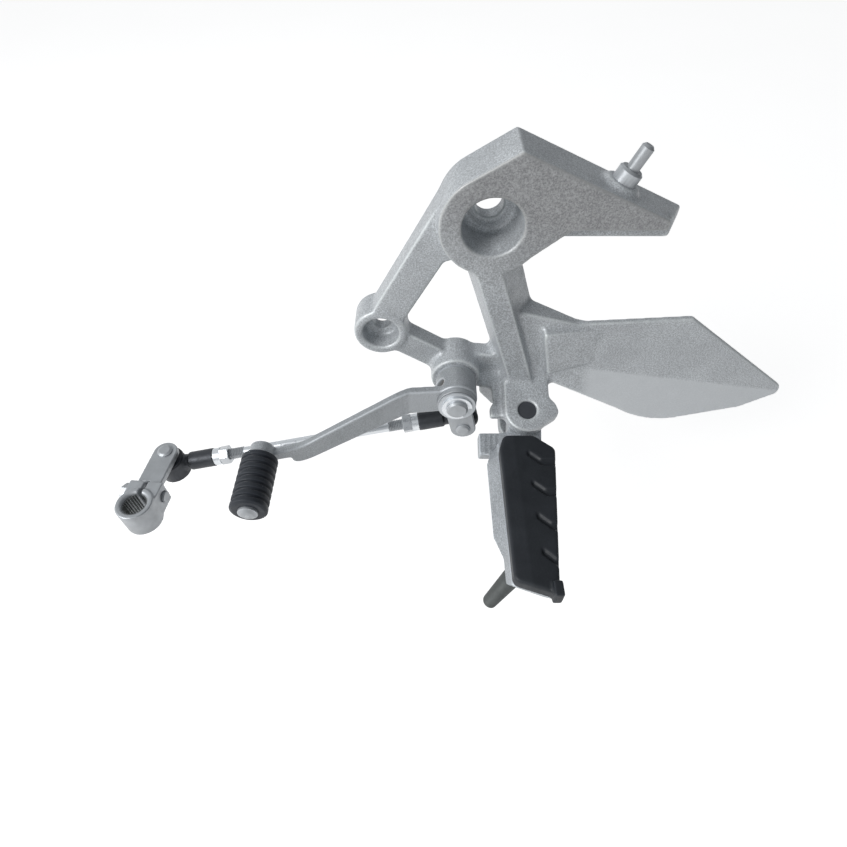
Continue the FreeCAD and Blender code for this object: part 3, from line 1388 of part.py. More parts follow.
def peg_outline(flange="0", tuck="0", end_tuck="0", notch="0"):
    """Corners of the footpeg seen from above, changed by its draft at a lower level."""
    front = f"-size.peg_front - ({flange})"
    stepped = f"{front} + ({notch})"
    return [
        (f"{front} + size.peg_bevel", "-size.peg_root"),
        (f"size.peg_nose - ({tuck})", "-size.peg_root"),
        (f"size.peg_rear - ({tuck})", "-size.peg_shoulder"),
        (f"size.peg_rear - size.peg_taper - ({tuck})", f"-size.peg_long + ({end_tuck})"),
        (stepped, f"-size.peg_long + size.peg_skew + ({end_tuck})"),
        (stepped, "-size.notch_end"),
        (front, "-size.notch_start"),
        (front, "-size.peg_shoulder"),
    ]


def peg_sketch(owner, name, below, x="0", out="0"):
    """A level sketch on the footpeg, at a depth below the pad's top."""
    return new_sketch(
        owner, "XY_Plane", name, f"size.pin_x + ({x})", f"-size.pin_out - ({out})", f"size.pin_z - ({below})",
    )


PEG_FOOT = "(size.pad_thick + size.peg_deep)"
PEG_DECK = "(size.pad_thick + size.deck_thick)"
PAD_BOLTS = ("size.pad_bolt_inner", "size.pad_bolt_outer")
FEELER_OUT = "(size.peg_long - size.feeler_inset)"


def build_footpeg():
    """Folding footpeg: casting, rubber pad, its bolts and the bank feeler."""
    peg = new_body("footpeg_casting")
    top = peg_sketch(peg, "peg_deck", "size.pad_thick")
    add_outline(top, peg_outline())
    foot = peg_sketch(peg, "peg_foot", PEG_FOOT)
    draft = ("size.peg_flange", "size.peg_tuck", "size.peg_end_tuck", "size.notch_deep")
    add_outline(foot, peg_outline(*draft))
    loft(peg, [top, foot])
    root = peg_sketch(peg, "peg_root_block", "size.pad_thick")
    block_end = "-(size.pad_bolt_inner - size.hollow_long / 2 - size.root_wall)"
    add_outline(
        root,
        [
            ("-size.peg_front", "-size.peg_root"),
            ("0", "-size.peg_root"),
            ("size.neck_rear", "-size.peg_shoulder"),
            ("size.neck_rear", block_end),
            ("-size.peg_front", block_end),
        ],
    )
    extrude(peg, root, "size.root_deep", away=True)
    eye = "(size.ear_thick + size.side_gap)"
    eye_high = "size.fork_gap - size.spring_high - size.side_gap"
    barrel = fork_sketch(peg, "barrel", eye)
    add_circle(barrel, "0", "0", "size.barrel_diameter")
    extrude(peg, barrel, eye_high, away=True)
    neck = fork_sketch(peg, "neck", eye)
    add_outline(
        neck,
        [
            ("-size.barrel_diameter / 2", "0"),
            ("-size.neck_front", "-size.peg_shoulder"),
            ("size.neck_rear", "-size.peg_shoulder"),
            ("size.barrel_diameter / 2", "0"),
        ],
    )
    extrude(peg, neck, eye_high, away=True)
    shoulder = fork_sketch(peg, "shoulder", eye)
    add_outline(
        shoulder,
        [
            ("-size.flute_front", "-size.flute_inner"),
            ("-size.flute_front", "-size.flute_outer"),
            ("-size.flute_rear", "-size.flute_outer"),
            ("-size.flute_rear", "-size.flute_inner"),
        ],
    )
    extrude(peg, shoulder, "size.flute_deep", away=True)
    cut_footpeg(peg, eye, eye_high)
    build_pad()
    build_feeler()


def cut_footpeg(peg, eye, eye_high):
    """Pin hole, flutes, hollow underside with a rib, and the holes for bolts and feeler."""
    pin = fork_sketch(peg, "peg_pin_hole", eye)
    add_circle(pin, "0", "0", "size.pin_diameter + 2 * size.running_gap")
    extrude(peg, pin, eye_high, cut=True)
    flutes = new_sketch(peg, "XZ_Plane", "flutes", **flute_frame())
    for i in range(FLUTES):
        add_circle(flutes, f"size.flute_pitch * ({i} + 0.5) - size.flute_front", "0", "size.flute_wide")
    extrude(peg, flutes, "size.flute_outer - size.flute_inner", cut=True)
    half_wide, half_long = "size.hollow_wide / 2", "size.hollow_long / 2"
    for i, out in enumerate(PAD_BOLTS):
        hollow = peg_sketch(peg, f"hollow_{i}", PEG_FOOT, "-size.pad_bolt_x", out)
        add_outline(
            hollow,
            [
                (f"-{half_wide}", f"-{half_long}"),
                (half_wide, f"-{half_long}"),
                (half_wide, half_long),
                (f"-{half_wide}", half_long),
            ],
        )
        extrude(peg, hollow, "size.peg_deep - size.deck_thick", away=True, cut=True)
        hole = peg_sketch(peg, f"pad_bolt_hole_{i}", "size.pad_thick", "-size.pad_bolt_x", out)
        add_circle(hole, "0", "0", "size.pad_bolt + size.bolt_play")
        extrude(peg, hole, "size.deck_thick", cut=True)
    tapped = peg_sketch(peg, "feeler_hole", PEG_FOOT, "-size.feeler_x", FEELER_OUT)
    add_circle(tapped, "0", "0", "size.feeler_stud")
    extrude(peg, tapped, "size.feeler_stud_long", away=True, cut=True)


def flute_frame():
    """Place of the flutes' sketch: the shoulder's outer end, level with its upper face."""
    depth = "(size.ear_thick + size.side_gap)"
    return dict(
        x="size.pin_x",
        y=f"size.pin_z - {depth} * cos(size.pin_lean) - size.flute_outer * sin(size.pin_lean)",
        z=f"size.pin_out - {depth} * sin(size.pin_lean) + size.flute_outer * cos(size.pin_lean)",
        axis=FORK["axis"],
        angle=FORK["angle"],
    )


def build_pad():
    """Rubber pad with diagonal tread grooves, a raised end stop and two bolts from below."""
    pad = new_body("footpeg_rubber")
    outline = peg_sketch(pad, "pad", "size.pad_thick")
    add_outline(outline, peg_outline())
    extrude(pad, outline, "size.pad_thick")
    dress(pad, "Fillet", "pad_corners", lambda edge: is_upright(edge), "size.pad_round")
    top = value("size.pin_z")
    dress(pad, "Fillet", "pad_rim", lambda edge: is_level(edge, top), "size.pad_edge")
    tread = peg_sketch(pad, "tread", "0")
    outer = "size.peg_rear + size.peg_taper"
    for i in range(TREADS):
        near = f"-(size.tread_start + size.tread_pitch * {i})"
        far = f"{near} - size.tread_wide"
        edge_near, edge_far = f"{near} - size.tread_slope", f"{far} - size.tread_slope"
        add_outline(
            tread,
            [
                ("-size.tread_inner", near),
                ("-size.tread_inner", far),
                ("size.tread_turn", edge_far),
                (outer, edge_far),
                (outer, edge_near),
                ("size.tread_turn", edge_near),
            ],
        )
    extrude(pad, tread, "size.tread_groove", cut=True)
    lip = peg_sketch(pad, "lip", "size.pad_thick")
    rear = "size.peg_rear - size.peg_taper + size.lip_over"
    end = "size.peg_long + size.lip_over"
    add_outline(
        lip,
        [
            (f"{rear} - size.lip_wide", f"-({end})"),
            (rear, f"-({end})"),
            (rear, f"-({end} - size.lip_long)"),
            (f"{rear} - size.lip_wide", f"-({end} - size.lip_long)"),
        ],
    )
    extrude(pad, lip, "size.pad_thick + size.lip_high")
    bolts = []
    for i, out in enumerate(PAD_BOLTS):
        hole = peg_sketch(pad, f"pad_bolt_socket_{i}", "size.pad_thick", "-size.pad_bolt_x", out)
        add_circle(hole, "0", "0", "size.pad_bolt")
        extrude(pad, hole, "size.pad_bolt_long - size.deck_thick", away=True, cut=True)
        bolts.append(build_pad_bolt(i, out))
    group = doc.addObject("Part::Compound", "pad_bolts")
    group.Label = "pad_bolts"
    group.Links = bolts


def build_pad_bolt(index, out):
    """One hexagon bolt, head below the deck."""
    place = ("size.pin_x - size.pad_bolt_x", f"-size.pin_out - {out}", f"size.pin_z - {PEG_DECK}")
    bolt = new_body(f"pad_bolt_{index}", *place)
    head = new_sketch(bolt, "XY_Plane", f"pad_bolt_head_{index}")
    add_hexagon(head, "size.pad_bolt_flats")
    extrude(bolt, head, "size.pad_bolt_head", away=True)
    shank = new_sketch(bolt, "XY_Plane", f"pad_bolt_shank_{index}")
    add_circle(shank, "0", "0", "size.pad_bolt")
    extrude(bolt, shank, "size.pad_bolt_long")
    return bolt


def build_feeler():
    """Bank feeler: a tapered nub that leans forwards, on a screwed root."""
    feeler = new_body("bank_feeler")
    base = peg_sketch(feeler, "feeler_base", PEG_FOOT, "-size.feeler_x", FEELER_OUT)
    add_circle(base, "0", "0", "size.feeler_wide")
    tip = peg_sketch(
        feeler, "feeler_tip_section", f"{PEG_FOOT} + size.feeler_long",
        "-size.feeler_x - size.feeler_lean", f"{FEELER_OUT} + size.feeler_splay",
    )
    add_circle(tip, "0", "0", "size.feeler_tip")
    loft(feeler, [base, tip])
    low = value(f"size.pin_z - {PEG_FOOT} - size.feeler_long")
    dress(feeler, "Fillet", "feeler_nose", lambda edge: is_level(edge, low), "size.feeler_round")
    root = peg_sketch(feeler, "feeler_root", PEG_FOOT, "-size.feeler_x", FEELER_OUT)
    add_circle(root, "0", "0", "size.feeler_stud")
    extrude(feeler, root, "size.feeler_stud_long")


def write_parts(labels):
    """Check every object and write each piece to its own file."""
    doc.recompute()
    for item in doc.Objects:
        if "Invalid" in item.State or "Error" in item.State:
            raise RuntimeError(f"{item.Name} failed: {item.State}")
    shapes = {label: doc.getObjectsByLabel(label)[0].Shape for label in labels}
    for label, shape in shapes.items():
        if shape.isNull() or not shape.isValid() or not shape.Solids:
            raise RuntimeError(f"{label} has no valid solid")
    os.makedirs("parts", exist_ok=True)
    for label, shape in shapes.items():
        shape.exportStep(f"parts/{label}.step")
        print(label, len(shape.Solids), round(shape.Volume, 1))


build_hanger()
build_hanger_fittings()
build_footpeg_pin()
build_lever()
build_rod()
build_shift_arm()
build_footpeg()
write_parts(PIECES)
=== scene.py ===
import json
import math
import bmesh
import bpy
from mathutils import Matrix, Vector


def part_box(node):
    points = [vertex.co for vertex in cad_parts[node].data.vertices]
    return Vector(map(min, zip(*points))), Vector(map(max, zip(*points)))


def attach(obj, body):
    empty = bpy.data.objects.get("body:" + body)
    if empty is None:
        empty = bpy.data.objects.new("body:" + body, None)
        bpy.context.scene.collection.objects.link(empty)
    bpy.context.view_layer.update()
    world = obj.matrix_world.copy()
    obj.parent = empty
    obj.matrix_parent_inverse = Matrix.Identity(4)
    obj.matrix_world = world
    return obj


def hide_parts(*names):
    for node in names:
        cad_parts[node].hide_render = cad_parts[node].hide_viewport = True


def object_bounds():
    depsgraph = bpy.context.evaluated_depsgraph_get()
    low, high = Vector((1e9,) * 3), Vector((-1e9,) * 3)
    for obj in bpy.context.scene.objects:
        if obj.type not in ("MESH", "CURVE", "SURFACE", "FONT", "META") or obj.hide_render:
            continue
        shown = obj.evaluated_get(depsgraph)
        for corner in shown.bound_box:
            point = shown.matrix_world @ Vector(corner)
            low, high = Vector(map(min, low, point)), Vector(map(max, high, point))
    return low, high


# Left footrest hanger of a motorcycle on a pale studio floor: metres, +X to the rear,
# +Y inboard, +Z up.

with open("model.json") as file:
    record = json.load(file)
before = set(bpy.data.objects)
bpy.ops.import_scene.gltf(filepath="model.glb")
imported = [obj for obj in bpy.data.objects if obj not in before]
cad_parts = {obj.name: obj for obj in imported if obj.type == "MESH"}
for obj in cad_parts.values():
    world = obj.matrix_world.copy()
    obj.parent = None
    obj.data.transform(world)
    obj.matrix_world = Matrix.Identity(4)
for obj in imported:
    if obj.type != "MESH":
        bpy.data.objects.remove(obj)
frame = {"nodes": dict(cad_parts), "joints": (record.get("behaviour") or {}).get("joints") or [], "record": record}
cad_low, cad_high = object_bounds()
nodes = frame["nodes"]
scene = bpy.context.scene

# Shader nodes, where an owner is a material or the world
MIX_FIRST = 6
MIX_SECOND = 7
MIX_RESULT = 2


def link(owner, source, target):
    """Join two sockets of an owner's nodes."""
    owner.node_tree.links.new(source, target)


def feed(owner, given, socket):
    """Give a socket another socket's value, a colour or a number."""
    if isinstance(given, bpy.types.NodeSocket):
        link(owner, given, socket)
    elif isinstance(given, tuple):
        socket.default_value = (*given, 1.0)
    else:
        socket.default_value = given


def noise(material, scale, detail=2.0, roughness=0.5):
    """Noise in the object's own coordinates, scale in cells a metre."""
    place = material.node_tree.nodes.new("ShaderNodeTexCoord")
    made = material.node_tree.nodes.new("ShaderNodeTexNoise")
    made.inputs["Scale"].default_value = scale
    made.inputs["Detail"].default_value = detail
    made.inputs["Roughness"].default_value = roughness
    link(material, place.outputs["Object"], made.inputs["Vector"])
    return made.outputs["Fac"]


def ramp(owner, value, stops):
    """Colour ramp; stops are (position, grey or colour)."""
    made = owner.node_tree.nodes.new("ShaderNodeValToRGB")
    elements = made.color_ramp.elements
    while len(elements) < len(stops):
        elements.new(1.0)
    for element, (position, colour) in zip(elements, stops):
        element.position = position
        element.color = (*colour, 1.0) if isinstance(colour, tuple) else (colour, colour, colour, 1.0)
    link(owner, value, made.inputs["Fac"])
    return made.outputs["Color"]


def mix(material, factor, first, second, mode="MIX"):
    """Mix two colours; factor is a number or a socket."""
    made = material.node_tree.nodes.new("ShaderNodeMix")
    made.data_type = "RGBA"
    made.blend_type = mode
    feed(material, factor, made.inputs["Factor"])
    feed(material, first, made.inputs[MIX_FIRST])
    feed(material, second, made.inputs[MIX_SECOND])
    return made.outputs[MIX_RESULT]


def calculate(owner, operation, first, second):
    """Math node on two sockets, or on a socket and a number."""
    made = owner.node_tree.nodes.new("ShaderNodeMath")
    made.operation = operation
    feed(owner, first, made.inputs[0])
    feed(owner, second, made.inputs[1])
    return made.outputs[0]


def map_range(owner, value, start, end, low=0.0, high=1.0):
    """A value between start and end, spread from low to high."""
    made = owner.node_tree.nodes.new("ShaderNodeMapRange")
    for socket, number in (("From Min", start), ("From Max", end), ("To Min", low), ("To Max", high)):
        made.inputs[socket].default_value = number
    link(owner, value, made.inputs["Value"])
    return made.outputs["Result"]


def bend_mask(material, stops):
    """Mask from how the mesh bends: over 0.5 on outer edges, under 0.5 in inner corners."""
    geometry = material.node_tree.nodes.new("ShaderNodeNewGeometry")
    return ramp(material, geometry.outputs["Pointiness"], stops)


def ramp_along(material, direction, start, end, most=1.0):
    """Mask that rises from 0 along a direction of the object's own coordinates, in metres."""
    place = material.node_tree.nodes.new("ShaderNodeTexCoord")
    along = material.node_tree.nodes.new("ShaderNodeVectorMath")
    along.operation = "DOT_PRODUCT"
    along.inputs[1].default_value = direction
    link(material, place.outputs["Object"], along.inputs[0])
    return map_range(material, along.outputs["Value"], start, end, high=most)


def tint(material, mask, colour, mode="MULTIPLY"):
    """Change the base colour by a colour where the mask is 1."""
    socket = material.node_tree.nodes["Principled BSDF"].inputs["Base Color"]
    link(material, mix(material, mask, socket.links[0].from_socket, colour, mode), socket)


def seen_rays(owner):
    """1 for rays from the camera, and for those that metal or glass send on."""
    rays = owner.node_tree.nodes.new("ShaderNodeLightPath")
    seen = rays.outputs["Is Camera Ray"]
    for name in ("Is Glossy Ray", "Is Transmission Ray"):
        seen = calculate(owner, "MAXIMUM", seen, rays.outputs[name])
    return seen


# Parts of a material
MATERIALS = {}
CLOUD_DETAIL = 4.0
GLOSS_LOW = 0.3
GLOSS_HIGH = 0.7


def new_material(name, metallic, **settings):
    """A node material with a principled shader, kept under its name."""
    made = bpy.data.materials.new(name)
    made.use_nodes = True
    shader = made.node_tree.nodes["Principled BSDF"]
    shader.inputs["Metallic"].default_value = metallic
    for socket, number in settings.items():
        shader.inputs[socket.replace("_", " ")].default_value = number
    MATERIALS[name] = made
    return made, shader


def scaled(colour, by, most=1.0):
    """A colour made lighter or darker, up to a limit."""
    return tuple(min(part * by, most) for part in colour)


def cloud(material, dark, light, scale, roughness, low, high):
    """Tone that drifts between two colours over the surface."""
    drift = noise(material, scale, CLOUD_DETAIL, roughness)
    return ramp(material, drift, [(low, dark), (high, light)])


def vary_gloss(material, shader, rough, scale, detail, less, more):
    """Roughness that wanders about its level."""
    drift = noise(material, scale, detail)
    level = ramp(material, drift, [(GLOSS_LOW, rough - less), (GLOSS_HIGH, rough + more)])
    link(material, level, shader.inputs["Roughness"])


def add_bump(material, shader, height, strength, depth):
    """Bump on the shader's normal, depth in metres."""
    made = material.node_tree.nodes.new("ShaderNodeBump")
    made.inputs["Strength"].default_value = strength
    made.inputs["Distance"].default_value = depth
    link(material, height, made.inputs["Height"])
    link(material, made.outputs["Normal"], shader.inputs["Normal"])


# Kinds of material, with masks as (bend, amount) and flake as (noise, brightness)
# The edge masks paint highlights on outer edges, and the corner mask paints shade in inner corners
PAINT_EDGE = ((0.508, 0.0), (0.54, 1.0))
PAINT_CORNER = ((0.44, 1.0), (0.485, 0.0))
METAL_EDGE = ((0.53, 0.0), (0.63, 1.0))
MOULDED_EDGE = ((0.51, 0.0), (0.6, 1.0))
FLAKE_STOPS = ((0.34, 0.62), (0.5, 0.98), (0.64, 1.42))
FLAKE_SHARE = 0.8


def cast_paint(name, light, dark, flake, grain, metallic, rough):
    """Metallic paint on a casting: fine flake, orange-peel grain, a painted highlight on outer edges and painted
    shade in inner corners.
    """
    material, shader = new_material(name, metallic, Coat_Weight=0.08, Coat_Roughness=0.4)
    tone = cloud(material, dark, light, scale=45, roughness=0.6, low=0.32, high=0.68)
    speck = ramp(material, noise(material, flake, roughness=0.75), FLAKE_STOPS)
    flaked = mix(material, FLAKE_SHARE, tone, speck, "MULTIPLY")
    # Painted highlight: outer edges made lighter
    edge_highlight = mix(material, bend_mask(material, PAINT_EDGE), flaked, scaled(light, by=1.45, most=0.85))
    # Painted shade: inner corners made darker
    corner_shade = mix(material, bend_mask(material, PAINT_CORNER), edge_highlight, scaled(dark, by=0.7))
    link(material, corner_shade, shader.inputs["Base Color"])
    vary_gloss(material, shader, rough, scale=160, detail=4.0, less=0.07, more=0.08)
    peel = noise(material, grain, detail=3.0, roughness=0.6)
    add_bump(material, shader, peel, strength=0.3, depth=0.0003)
    return material


def bare_metal(name, light, dark, rough, grain, strength, metallic=1.0):
    """Plated or bare metal: cloudy tone, fine scratches and a painted highlight on brighter edges."""
    material, shader = new_material(name, metallic)
    tone = cloud(material, dark, light, scale=90, roughness=0.6, low=0.3, high=0.7)
    # Painted highlight: outer edges made lighter
    edge_highlight = mix(material, bend_mask(material, METAL_EDGE), tone, scaled(light, by=1.25, most=0.95))
    link(material, edge_highlight, shader.inputs["Base Color"])
    vary_gloss(material, shader, rough, scale=420, detail=3.0, less=0.06, more=0.1)
    add_bump(material, shader, noise(material, grain), strength, depth=0.0001)


def moulded(name, light, dark, rough, grain, strength):
    """Rubber or plastic: matt, with a painted highlight on outer edges and a fine moulded grain."""
    material, shader = new_material(name, 0.0, Specular_IOR_Level=0.35)
    tone = cloud(material, dark, light, scale=60, roughness=0.65, low=0.35, high=0.75)
    # Painted highlight: outer edges made lighter
    moulded_edge_highlight = mix(material, bend_mask(material, MOULDED_EDGE), tone, scaled(light, by=1.7, most=0.9))
    link(material, moulded_edge_highlight, shader.inputs["Base Color"])
    vary_gloss(material, shader, rough, scale=240, detail=3.0, less=0.08, more=0.08)
    add_bump(material, shader, noise(material, grain), strength, depth=0.0002)
    return material


# The part's materials
cast_paint(
    "peg_silver", light=(0.42, 0.445, 0.47), dark=(0.35, 0.37, 0.39),
    flake=1300, grain=1000, metallic=0.25, rough=0.45,
)
cast_paint(
    "lever_silver", light=(0.41, 0.43, 0.45), dark=(0.35, 0.37, 0.385),
    flake=2200, grain=1700, metallic=0.3, rough=0.4,
)
bare_metal(
    "bright_zinc", light=(0.6, 0.62, 0.64), dark=(0.5, 0.52, 0.54),
    rough=0.3, grain=900, strength=0.12, metallic=0.85,
)
bare_metal(
    "dull_zinc", light=(0.47, 0.49, 0.51), dark=(0.37, 0.385, 0.4),
    rough=0.42, grain=900, strength=0.15, metallic=0.55,
)
bare_metal(
    "dark_steel", light=(0.12, 0.128, 0.126), dark=(0.07, 0.076, 0.075),
    rough=0.5, grain=700, strength=0.3, metallic=0.5,
)
bare_metal(
    "black_steel", light=(0.07, 0.075, 0.085), dark=(0.04, 0.043, 0.048),
    rough=0.42, grain=800, strength=0.2, metallic=0.6,
)
bare_metal(
    "spring_steel", light=(0.5, 0.5, 0.5), dark=(0.34, 0.34, 0.34), rough=0.34, grain=600, strength=0.2
)
bare_metal(
    "bush_bronze", light=(0.52, 0.36, 0.18), dark=(0.4, 0.27, 0.13), rough=0.4, grain=600, strength=0.2
)
moulded("pale_nylon", light=(0.72, 0.7, 0.64), dark=(0.6, 0.58, 0.52), rough=0.5, grain=500, strength=0.1)
moulded(
    "black_rubber", light=(0.036, 0.041, 0.051), dark=(0.02, 0.024, 0.031),
    rough=0.5, grain=900, strength=0.35,
)

# The hanger's plate has a grained face painted darker, partly its own tone and partly painted shade that deepens
# up the plate, and its guard is smoother and painted lighter below the crease, a painted light where it flares up
OUTBOARD = (0, -1, 0)
REARWARD = (1, 0, 0)
UP_THE_PLATE = (0.3, 0, 1)
BELOW_CREASE = (-0.153, 0, -1)
FACE_SHADE = (0.64, 0.62, 0.61)
FOOT_PAINTED_LIGHT = (0.68, 0.705, 0.725)
hanger_paint = cast_paint(
    "hanger_paint", light=(0.56, 0.585, 0.605), dark=(0.47, 0.49, 0.51),
    flake=1300, grain=1000, metallic=0.25, rough=0.45,
)
# Painted shade: the plate's outboard face darkened, more towards the top
plate_front = ramp_along(hanger_paint, OUTBOARD, start=0.0308, end=0.0316)
plate_height = ramp_along(hanger_paint, UP_THE_PLATE, start=-0.035, end=0.012)
tint(hanger_paint, calculate(hanger_paint, "MULTIPLY", plate_front, plate_height), FACE_SHADE)
# Painted light: the guard's foot below the crease made lighter, away from its root
guard_foot = ramp_along(hanger_paint, BELOW_CREASE, start=0.0818, end=0.0838, most=0.85)
guard_length = ramp_along(hanger_paint, REARWARD, start=0.061, end=0.068)
tint(hanger_paint, calculate(hanger_paint, "MULTIPLY", guard_foot, guard_length), FOOT_PAINTED_LIGHT, "MIX")

# The pad is painted darker behind its smooth front strip, as painted shade
PAD_SHADE = (0.72, 0.74, 0.75)
pad_rubber = moulded(
    "pad_rubber", light=(0.033, 0.037, 0.044), dark=(0.019, 0.022, 0.027),
    rough=0.5, grain=900, strength=0.35,
)
tint(pad_rubber, ramp_along(pad_rubber, REARWARD, start=0.0178, end=0.0195), PAD_SHADE)

# Nodes whose finish differs from their slot's
FINISH = {"hanger_casting": "hanger_paint", "footpeg_casting": "peg_silver", "footpeg_rubber": "pad_rubber"}
DULL = (
    "shift_arm", "linkage_tab", "lever_pivot_pin", "thrust_washer", "pivot_washer", "cover_stud",
    "toe_spindle", "front_ball_stud", "rear_ball_stud", "pinch_bolt",
)
FINISH.update({node: "dull_zinc" for node in DULL})
SLOT_OF = {part["node"]: part["material_slot"] for part in frame["record"]["subparts"]}


def finish_of(node):
    """Material of a node: its own finish, or its slot's."""
    return MATERIALS[FINISH.get(node, SLOT_OF[node])]


for name, item in nodes.items():
    item.data.materials.clear()
    item.data.materials.append(finish_of(name))

# Solids that are joined to the hanger's skin: a gusset on the guard's root, and a web beside the fork
MM = 0.001
FOLD = next(joint for joint in frame["joints"] if joint["name"] == "footpeg_fold")
PIN_TOP = FOLD["pos_m"]
PIN_LEAN = math.radians(22.0)
GUSSET = (
    (0.0341, -0.0325, -0.0631), (0.0408, -0.0325, -0.092),
    (0.066, -0.0272, -0.063), (0.066, -0.0272, -0.088),
    (0.0341, -0.025, -0.0605), (0.038, -0.025, -0.093),
    (0.066, -0.025, -0.062), (0.066, -0.025, -0.088),
)


def fork_point(ahead, inboard, down):
    """Point near the footpeg pin, in metres, from millimetres in the fork's leaning frame."""
    return (
        PIN_TOP[0] - ahead * MM,
        PIN_TOP[1] + (inboard * math.cos(PIN_LEAN) + down * math.sin(PIN_LEAN)) * MM,
        PIN_TOP[2] + (inboard * math.sin(PIN_LEAN) - down * math.cos(PIN_LEAN)) * MM,
    )


def fork_block(ahead, inboard, down):
    """Corners of a block in the fork's frame, from its ranges in millimetres."""
    return [fork_point(a, i, d) for a in ahead for i in inboard for d in down]


web_top = fork_block(ahead=(12.0, 26.5), inboard=(16.0, 26.0), down=(4.0, 14.0))
web_foot = fork_block(ahead=(12.0, 17.0), inboard=(16.0, 26.0), down=(33.0, 34.0))
web_front = fork_block(ahead=(10.0, 20.0), inboard=(8.0, 20.0), down=(3.0, 7.9))
ADDED = {"hanger_casting": [GUSSET, web_top + web_foot, web_front]}

# Skins: node, body, voxel and fillet in metres, smoothing passes
EASE = 0.5
MOST_TRIANGLES = 150000
SKINS = (
    ("hanger_casting", "hanger", 0.0006, 0.002, 12),
    ("footpeg_casting", "footpeg", 0.0006, 0.001, 5),
    ("shift_lever", "shift_lever", 0.00055, 0.001, 5),
    ("shift_arm", "shift_arm", 0.0004, 0.0004, 4),
    ("linkage_tab", "shift_lever", 0.0003, 0.0, 3),
    ("footpeg_rubber", "footpeg", 0.00045, 0.0006, 4),
    ("toe_rubber", "shift_lever", 0.0003, 0.0, 3),
    ("rear_dust_boot", "shift_rod", 0.00025, 0.0, 3),
    ("front_dust_boot", "shift_rod", 0.00025, 0.0, 3),
    ("rear_rod_end", "shift_rod", 0.0003, 0.0004, 3),
    ("front_rod_end", "shift_rod", 0.0003, 0.0004, 3),
    ("rear_jam_nut", "shift_rod", 0.00022, 0.0, 3),
    ("front_jam_nut", "shift_rod", 0.00022, 0.0, 3),
    ("pinch_bolt", "shift_arm", 0.00022, 0.0, 3),
    ("bank_feeler", "footpeg", 0.0004, 0.0, 4),
)


def add_hull(mesh, points):
    """Add the convex hull of some points to a mesh."""
    shape = bmesh.new()
    shape.from_mesh(mesh)
    corners = [shape.verts.new(point) for point in points]
    bmesh.ops.convex_hull(shape, input=corners)
    shape.to_mesh(mesh)
    shape.free()


def remesh(piece, voxel):
    """Voxel remesh as a modifier."""
    made = piece.modifiers.new("skin", "REMESH")
    made.mode = "VOXEL"
    made.voxel_size = voxel


def bake(piece):
    """Put the modifiers' result into the piece's own mesh."""
    graph = bpy.context.evaluated_depsgraph_get()
    graph.update()
    mesh = bpy.data.meshes.new_from_object(piece.evaluated_get(graph))
    piece.modifiers.clear()
    piece.data = mesh


def soften(node, body, voxel, fillet, passes):
    """A rounded copy of a node: inner corners filled to a radius and outer edges eased."""
    piece = bpy.data.objects.new(node + "_skin", nodes[node].data.copy())
    scene.collection.objects.link(piece)
    for points in ADDED.get(node, ()):
        add_hull(piece.data, points)
    if fillet:
        for amount in (fillet, -fillet):
            remesh(piece, voxel)
            grow = piece.modifiers.new("grow", "DISPLACE")
            grow.mid_level = 0.0
            grow.strength = amount
    remesh(piece, voxel)
    ease = piece.modifiers.new("ease", "SMOOTH")
    ease.factor = EASE
    ease.iterations = passes
    bake(piece)
    triangles = sum(len(face.vertices) - 2 for face in piece.data.polygons)
    if triangles > MOST_TRIANGLES:
        thin = piece.modifiers.new("thin", "DECIMATE")
        thin.ratio = MOST_TRIANGLES / triangles
        bake(piece)
    mesh = piece.data
    mesh.materials.clear()
    mesh.materials.append(finish_of(node))
    for face in mesh.polygons:
        face.use_smooth = True
    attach(piece, body)
    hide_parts(node)


for node, body, voxel, fillet, passes in SKINS:
    soften(node, body, voxel, fillet, passes)


def add_piece(name, points, faces, body, material):
    """New mesh piece on a body."""
    mesh = bpy.data.meshes.new(name)
    mesh.from_pydata(points, [], faces)
    mesh.materials.append(MATERIALS[material])
    piece = bpy.data.objects.new(name, mesh)
    scene.collection.objects.link(piece)
    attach(piece, body)


def middle_of(node):
    """Middle of a node's box."""
    low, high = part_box(node)
    return (Vector(low) + Vector(high)) / 2


# Splines in the clamp's bore, with their half widths as shares of the pitch
SPLINES = 30
SPLINE_ROOT = 0.0067
SPLINE_TIP = 0.0059
SPLINE_HALF = 0.0078
ROOT_SHARE = 0.45
TIP_SHARE = 0.14
SLIT_HALF = math.radians(14)
BLOCK_FACES = ((0, 3, 2, 1), (4, 5, 6, 7), (0, 1, 5, 4), (1, 2, 6, 5), (2, 3, 7, 6), (3, 0, 4, 7))


def add_splines():
    """Ridges along the clamp's bore, left out where the slit is."""
    shaft = next(m for m in frame["record"]["mounts"] if m["name"] == "shift_shaft_clamp")
    centre = Vector(shaft["pos_m"])
    towards = middle_of("front_ball_stud") - centre
    slit = math.atan2(towards.y, towards.x)
    pitch = math.tau / SPLINES
    profile = (
        (-ROOT_SHARE, SPLINE_ROOT), (ROOT_SHARE, SPLINE_ROOT),
        (TIP_SHARE, SPLINE_TIP), (-TIP_SHARE, SPLINE_TIP),
    )
    points, faces = [], []
    for i in range(SPLINES):
        turn = i * pitch
        if abs((turn - slit + math.pi) % math.tau - math.pi) < SLIT_HALF:
            continue
        first = len(points)
        for height in (-SPLINE_HALF, SPLINE_HALF):
            for share, radius in profile:
                angle = turn + share * pitch
                points.append(centre + Vector((radius * math.cos(angle), radius * math.sin(angle), height)))
        for corners in BLOCK_FACES:
            faces.append([first + corner for corner in corners])
    add_piece("shaft_splines", points, faces, "shift_arm", "dark_steel")


add_splines()

# Rolled threads on the rod, from each jam nut towards the rod's middle
THREAD_PITCH = 0.001
THREAD_CORE = 0.0026
THREAD_ROOT = 0.00302
THREAD_CREST = 0.0034
THREAD_SIDES = 40
THREAD_LONG = 0.009
NUT_HALF = 0.0028


